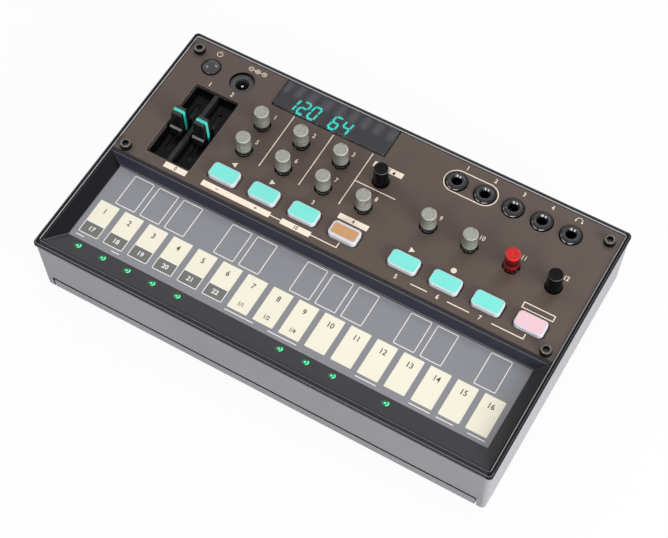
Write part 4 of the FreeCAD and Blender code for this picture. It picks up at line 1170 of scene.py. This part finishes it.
def leverLineShape():
    # band over the top and down both sides
    top, half = sliderSet["leverTop"], sliderSet["line"] / 2
    outer = [(2.73, 29.9), (2.73, 33.4), (2.7, 34.1), (2.58, 36.6), (2.43, 39.6), (2.34, top - 0.4),
             (2.24, top - 0.08), (2.08, top + 0.03)]
    outer += [(-x, z) for x, z in reversed(outer)]
    inner = [(x - math.copysign(0.35, x), z - (0.35 if z > top - 0.5 else 0.0)) for x, z in outer]
    bm = bmesh.new()
    rows, back = [[[bm.verts.new((x, y, z)) for y in (-half, half)] for x, z in line] for line in (outer, inner)]
    for i in range(len(rows) - 1):
        bm.faces.new((*rows[i], *reversed(rows[i + 1])))
        bm.faces.new((back[i][0], back[i + 1][0], back[i + 1][1], back[i][1]))
        for k in (0, 1):
            bm.faces.new((rows[i][k], rows[i + 1][k], back[i + 1][k], back[i][k]))
    for i in (0, -1):
        bm.faces.new((*rows[i], *reversed(back[i])))
    return meshFrom(bm, "leverLine")


def slotFrame(name, out, line):
    width, length = panelSet["faderSlot"]
    outline = boxOutline(*panelSet["fader"], width + 2 * out, length + 2 * out, 0.6 + out, 5)
    return printed(name, deck["top"], [(outline, line, True)])


def makeSliders():
    s = sliderSet
    # painted shade: black frame round the slot's edge; painted highlight: pale line just outside it
    fit(slotFrame("slotFrame", 0.26, 0.52), makeLook("slotEdgeShade", s["frame"], 0.3, specular=0.2))
    fit(slotFrame("slotHighlightLine", 0.62, 0.16), makeLook("slotEdgeHighlight", s["hairlineHighlight"], 0.4))
    fit(trayShape(), makeLook("trayGloss", s["tray"], 0.12, drift=0.06, marks=0.05, bump=0.02, grainScale=900.0,
                              specular=0.1), stands=["fader_tray"], slot="dark_plastic")
    fit(barShape(), makeLook("barSatin", s["barColour"], 0.28, bump=0.04, specular=0.3))
    leverLook = makeLook("leverSatin", s["lever"], 0.26, marks=0.06, bump=0.05, coat=0.2)
    # painted highlight: upward faces of the lever's step are lighter
    up = axesOf(leverLook.node_tree, "Normal")[2] > 0.3
    height = axesOf(leverLook.node_tree)[2]
    twoTone(leverLook, up * ((height > 0.0333) * (height < 0.0343)), s["step"])
    tealLook = makeLook("tealLine", s["teal"], 0.3, drift=0.03, driftScale=300.0)
    lever, line = leverShape(), leverLineShape()
    for i, x in enumerate(s["leverXs"], 1):
        body = "fader_lever_%d" % i
        fit(copyAt(lever, "lever%d" % i, x, s["leverY"]), leverLook, body, [body], "black_gloss")
        fit(copyAt(line, "leverLine%d" % i, x, s["leverY"]), tealLook, body)
    drop(lever, line)


makeSliders()
print("sliders ready")

# Display: dark glass over a lit seven-segment module
# the face colour is a painted glow of the dark film, the streak colour a painted reflection
displaySet = {"glass": tint(124, 124, 130), "dark": tint(5, 5, 6), "face": tint(80, 82, 94),
              "streak": tint(232, 232, 250), "lit": tint(25, 255, 231), "module": tint(30, 30, 34),
              "moduleBox": (-48.0, -5.5, 41.0, 51.6), "figures": "120 64", "left": -46.6, "front": 43.4,
              "pitch": 4.75, "width": 3.0, "height": 6.2, "stroke": 0.85, "slant": 0.16}
segments = {"0": "abcdef", "1": "bc", "2": "abged", "4": "fgbc", "6": "afgedc", " ": ""}


def windowShape():
    x0, x1, y0, y1 = panelSet["window"]

    def outline(inset):
        return roundedOutline(x0 + inset, x1 - inset, y0 + inset, y1 - inset, 1.2 - inset, 8)
    return stack("displayWindow", [(outline(0), deck["bottom"] + 0.06)]
                 + [(outline(inset), 33.3 - fall) for inset, fall in roundOver(0.3, 4)])


def maskShape():
    # dark film under the glass, behind the lit figures
    x0, x1, y0, y1 = panelSet["window"]
    return slab("displayMask", x0 + 0.2, x1 - 0.2, y0 + 0.2, y1 - 0.2, deck["bottom"] + 0.005,
                deck["bottom"] + 0.02, 0.8)


def litFigures():
    s = displaySet
    w, h = s["width"], s["height"]
    ends = {"a": ((0.25, h), (w - 0.25, h)), "g": ((0.25, h / 2), (w - 0.25, h / 2)), "d": ((0.25, 0), (w - 0.25, 0)),
            "f": ((0, h - 0.3), (0, h / 2 + 0.3)), "b": ((w, h - 0.3), (w, h / 2 + 0.3)),
            "e": ((0, h / 2 - 0.3), (0, 0.3)), "c": ((w, h / 2 - 0.3), (w, 0.3))}
    strokes = []
    for i, char in enumerate(s["figures"]):
        x, y = s["left"] + s["pitch"] * i, s["front"]
        strokes += [([(x + px + s["slant"] * py, y + py) for px, py in ends[name]], s["stroke"], False)
                    for name in segments[char]]
    return printed("litFigures", deck["bottom"], strokes, below=-0.015, above=0.04)


def makeFaceLook():
    # painted light: the film glows faintly in place of being lit, and soft pale streak bands toward the back of the
    # film are a painted reflection
    s = displaySet
    look = makeLook("displayFaceGlow", s["dark"], 0.6, bump=0.02, specular=0.0)
    tree = look.node_tree
    bands = addNode(tree, "TexWave", Vector=objectPlace(tree), Scale=52.0, Distortion=4.0, Detail=2.0)
    bands.bands_direction = "X"
    behind = ((axesOf(tree)[1] - 0.0485) * 500.0).clipped()
    reflectionStreaks = Signal(bands.outputs["Fac"]) * behind * 0.55
    return glowing(look, mixColour(tree, reflectionStreaks, s["face"], s["streak"]), 0.5)


def makeDisplay():
    s = displaySet
    fit(windowShape(), makeLook("darkGlass", s["glass"], 0.29, drift=0.01, marks=0.0, bump=0.0, glass=1.0, ior=1.49,
                                specular=0.3), stands=["display_window"], slot="dark_lens")
    fit(slab("displayModule", *s["moduleBox"], boardTop, 31.5, 0.3, 0.15),
        makeLook("moduleResin", s["module"], 0.4, bump=0.06), stands=["display_module"])
    fit(maskShape(), makeFaceLook())
    lit = makeLook("litTeal", s["lit"], 0.4, drift=0.02, driftScale=400.0, bump=0.02)
    fit(litFigures(), glowing(lit, s["lit"], 3.1))


makeDisplay()
print("display ready")

# Sockets: glossy black collars, and the power inlet with its pin
socketSet = {"radius": 4.3, "bore": 1.8, "top": 33.95, "colour": tint(8, 8, 11), "wall": tint(84, 84, 88),
             "lip": tint(5, 5, 7), "glint": tint(225, 230, 240), "flankGlint": tint(178, 180, 184),
             # the bands paint lighter grey highlight on the collar's shoulder and crown, and dark troughs
             "pin": tint(170, 170, 172), "bands": ((32.7, 4), (33.0, 6), (33.2, 14), (33.3, 34), (33.42, 30),
                                                   (33.6, 40), (33.84, 54), (33.95, 66))}


def jackShape():
    s = socketSet
    r, bore = s["radius"], s["bore"]
    profile = [(bore, 31.3), (r, 31.3), (r, 32.75), (4.22, 33.0), (4.0, 33.25), (3.75, 33.35), (3.55, 33.4),
               (3.35, 33.6), (3.1, 33.83), (2.85, 33.93), (2.6, s["top"]), (2.52, 33.92), (2.36, 33.8),
               (1.95, 33.32), (bore, 33.0)]
    body = carve(block("body", 0, 0, 10.4, 9.6, boardTop, 31.3, 0.4), [rod("tool", 0, 0, 20, 33, bore, 64)])
    return together("jackMaster", [turn("jack", 0, 0, profile, 64, True), body])


def inletShape():
    x, y = panelSet["dc"]
    barrel = turn("dcBarrel", x, y, [(2.8, 22.9), (5.0, 22.9), (5.0, 30.5), (4.85, 30.68), (4.6, 30.7),
                                     (3.1, 30.7), (2.92, 30.62), (2.8, 30.4)], 64, True)
    base = block("base", x, y, 10.0, 11.0, boardTop, 22.88, 0.3)
    shell = carve(block("shell", x, y, 10.0, 11.0, 22.88, 26.7, 0.3), [rod("tool", x, y, 20, 30, 5.0, 64)])
    return together("powerInlet", [barrel, base, shell])


def frontGlints(tree, tilt, gap, width):
    # two bright marks where the surface leans to the front, either side of the middle
    x, y = axesOf(tree, "Normal")[:2]
    aside = abs(x - 0.02)
    near = ((y * -1.0 - tilt) / 0.06).clipped()
    inner = ((aside - gap) / 0.05).clipped()
    outer = ((gap + width - aside) / 0.07).clipped()
    return near * inner * outer


def makeSockets():
    s = socketSet
    gloss = makeLook("socketGloss", s["colour"], 0.08, marks=0.02, bump=0.01, grainScale=900.0, specular=0.3)
    # painted highlight and shade: grey bands by height on the collar
    banded(gloss, greys(s["bands"], (0, 0, 4)))
    height = axesOf(gloss.node_tree)[2]
    flank = (height > 33.02 / metre) * (height < 33.26 / metre)
    twoTone(gloss, flank * frontGlints(gloss.node_tree, 0.4, 0.06, 0.34), s["flankGlint"])
    metal = makeLook("pinMetal", s["pin"], 0.22, metal=1.0, marks=0.06, bump=0.08, brushed=True)
    lipLook = makeLook("boreLip", s["lip"], 0.2, drift=0.06, bump=0.02, specular=0.4)
    twoTone(lipLook, frontGlints(lipLook.node_tree, 0.6, 0.1, 0.3), s["glint"])
    master = jackShape()
    for i, (x, y) in enumerate(jackPlaces, 1):
        fit(copyAt(master, "audioJack%d" % i, x, y), gloss, "case", ["audio_jack_%d" % i], "black_gloss")
        fit(turn("jackContact%d" % i, x, y, [(1.8, 24.0), (2.2, 24.0), (2.2, 27.0), (1.8, 27.0)], 32, True), metal)
        lip = [(1.8, 32.9), (1.98, 33.2), (2.46, 33.78), (2.4, 33.86), (1.84, 33.3)]
        fit(turn("boreLip%d" % i, x, y, lip, 64, True), lipLook)
    drop(master)
    fit(inletShape(), makeLook("inletPlastic", s["wall"], 0.35, marks=0.03, bump=0.04, specular=0.3),
        stands=["dc_jack"], slot="black_gloss")
    pin = [(0, 22.8), (0.7, 22.8), (0.7, 29.0), (0.62, 29.35), (0.4, 29.55), (0, 29.6)]
    fit(turn("inletPin", *panelSet["dc"], pin, 32), metal)


makeSockets()
print("sockets ready")

# Fasteners and feet
fastenerSet = {"headRadius": 2.1, "headTop": 34.9, "socket": 1.42, "steel": tint(116, 114, 110),
               # the bands paint a highlight ring at each head's top edge and shade deep in the socket
               "bands": ((27.0, 116), (32.4, 50), (33.4, 62), (33.55, 62), (33.64, 12), (34.2, 34), (34.5, 62),
                         # the ring colour is painted shade round the foot of each screw head
                         (34.72, 128), (34.84, 100)), "ring": tint(14, 14, 14), "rubber": tint(34, 34, 36)}


def panelScrewShape():
    s = fastenerSet
    r, top, socket = s["headRadius"], s["headTop"], s["socket"]
    profile = [(0, 26.6), (1.0, 26.6), (1.2, 27.0), (1.2, 32.6), (r, 32.6)]
    profile += [(r - inset, top - fall) for inset, fall in roundOver(0.55, 5)] + [(1.4, top), (0, top)]
    hexagon = stack("tool", [(circleOutline(0, 0, radius, 6), top + z)
                             for radius, z in ((socket, -1.4), (socket, -0.12), (socket + 0.2, 0.1))])
    return carve(turn("screw", 0, 0, profile, 48), [hexagon])


def caseScrewShape():
    profile = [(0, 10.0), (1.6, 10.0), (2.3, 10.25), (2.65, 10.8), (2.7, 12.0), (1.45, 12.0), (1.45, 26.3),
               (0.9, 27.0), (0, 27.0)]
    cross = [block("tool", 0, 0, 2.6, 0.6, 9.0, 11.0), block("tool", 0, 0, 0.6, 2.6, 9.0, 11.0)]
    return carve(turn("screw", 0, 0, profile, 40), cross)


def footShape():
    profile = [(0, 0), (4.0, 0), (4.25, 0.08), (4.42, 0.25), (4.5, 0.5), (4.5, 3.5), (0, 3.5)]
    groove = [(2.4, -1), (2.9, -1), (2.9, 0.25), (2.4, 0.25)]
    return carve(turn("foot", 0, 0, profile, 56), [turn("tool", 0, 0, groove, 48, True)])


def makeFasteners():
    s = fastenerSet
    steel = makeLook("darkSteel", s["steel"], 0.32, metal=0.85, drift=0.08, driftScale=400.0, marks=0.06, bump=0.1,
                     brushed=True)
    # painted highlight and shade: colours by height on the screw heads
    banded(steel, greys(s["bands"], (0, -1, -4)))
    fit(spread("panelScrews", panelScrewShape(), screwPlaces, 12), steel, stands=["panel_screws"], slot="screw_steel")
    # painted shade: a black ring round the foot of each screw head
    shadeRings = [(circleOutline(x, y, s["headRadius"] + 0.14, 40), 0.32, True) for x, y in screwPlaces]
    fit(printed("screwShadeRings", deck["top"], shadeRings), makeLook("screwRing", s["ring"], 0.4, specular=0.2))
    fit(spread("caseScrews", caseScrewShape(), caseScrewPlaces, 25), steel, stands=["case_screws"],
        slot="screw_steel")
    rubber = makeLook("footRubber", s["rubber"], 0.75, drift=0.06, driftScale=200.0, bump=0.2, grainScale=1600.0)
    fit(spread("rubberFeet", footShape(), footPlaces), rubber, stands=["rubber_feet"], slot="foot_rubber")


makeFasteners()
print("fasteners and feet ready")

# Battery cells with a printed band
cellSet = {"radius": 7.15, "length": 49.4, "pitch": 50.5, "first": -75.75, "height": 12.25, "bandFrom": 0.72,
           "jacket": tint(52, 60, 72), "band": tint(188, 120, 60)}


def cellShape():
    r, end = cellSet["radius"], cellSet["length"]
    profile = [(0, 0), (r - 0.7, 0), (r - 0.15, 0.15), (r, 0.6), (r, end - 0.9), (r - 0.3, end - 0.2),
               (r - 1.0, end), (2.7, end), (2.7, end + 0.8), (2.4, end + 1.0), (0, end + 1.0)]
    cell = turn("cell", 0, 0, profile, 40)
    cell.data.transform(Matrix.Rotation(math.radians(90), 4, "Y"))
    return cell


def makeCells():
    s = cellSet
    jacket = makeLook("cellJacket", s["jacket"], 0.28, driftScale=80.0, marks=0.06, coat=0.4)
    along = axesOf(jacket.node_tree)[0] / (s["pitch"] / metre) + 1.5
    twoTone(jacket, mathNode("FRACT", along) > s["bandFrom"], s["band"])
    places = [(s["first"] + s["pitch"] * i, row) for row in lowerCaseSet["cellRows"] for i in range(3)]
    fit(spread("batteryCells", cellShape(), places, z=s["height"]), jacket, stands=["battery_cells"],
        slot="cell_jacket")


makeCells()
print("battery cells ready")

# Finishes for the pieces that keep the frame's own shape
bareMetal = {"metal": 1.0, "brushed": True}
innerSet = {"main_board": ("boardGreen", tint(24, 70, 48), 0.3, {"coat": 0.4}),
            "touch_board": ("boardBlack", tint(30, 40, 36), 0.32, {"coat": 0.4}),
            "key_leds": ("lampEpoxy", tint(190, 235, 205), 0.25, {"glass": 0.3}),
            "integrated_circuits": ("chipResin", tint(34, 34, 36), 0.5, {"bump": 0.15}),
            "capacitors": ("capacitorCan", tint(186, 188, 192), 0.3, bareMetal),
            "potentiometer": ("potMetal", tint(178, 180, 184), 0.34, bareMetal),
            "fader_bodies": ("faderMetal", tint(172, 174, 178), 0.36, bareMetal),
            "tact_switches": ("switchPlastic", tint(40, 40, 42), 0.4, {}),
            "battery_contacts": ("springMetal", tint(206, 204, 198), 0.24, bareMetal),
            "battery_lead": ("leadSkinRed", tint(176, 30, 28), 0.42, {}),
            "speaker_lead": ("leadSkinGrey", tint(70, 72, 78), 0.42, {}),
            "keyboard_ribbon": ("ribbonFilm", tint(206, 204, 196), 0.35, {}),
            "speaker_cone": ("conePaper", tint(44, 42, 40), 0.8, {"bump": 0.3, "grainScale": 1400.0}),
            "speaker": ("speakerMetal", tint(120, 122, 126), 0.38, bareMetal)}
copperTone = tint(60, 112, 78)


def dressNodes():
    looks = {"key_sheet": sheetLook}
    for key, (label, colour, rough, more) in innerSet.items():
        looks[key] = makeLook(label, colour, rough, drift=0.03, **{"bump": 0.08, **more})
    for key in ("main_board", "touch_board"):
        traces = addNode(looks[key].node_tree, "Group", boardTraces)
        twoTone(looks[key], traces.outputs["Mask"], copperTone)
    for name, piece in frame["nodes"].items():
        match = [key for key in looks if name.startswith(key)]
        if not match:
            continue
        look = looks[max(match, key=len)]
        if not piece.material_slots:
            piece.data.materials.append(look)
        for place in piece.material_slots:
            place.material = look


dressNodes()
print("inner pieces dressed")
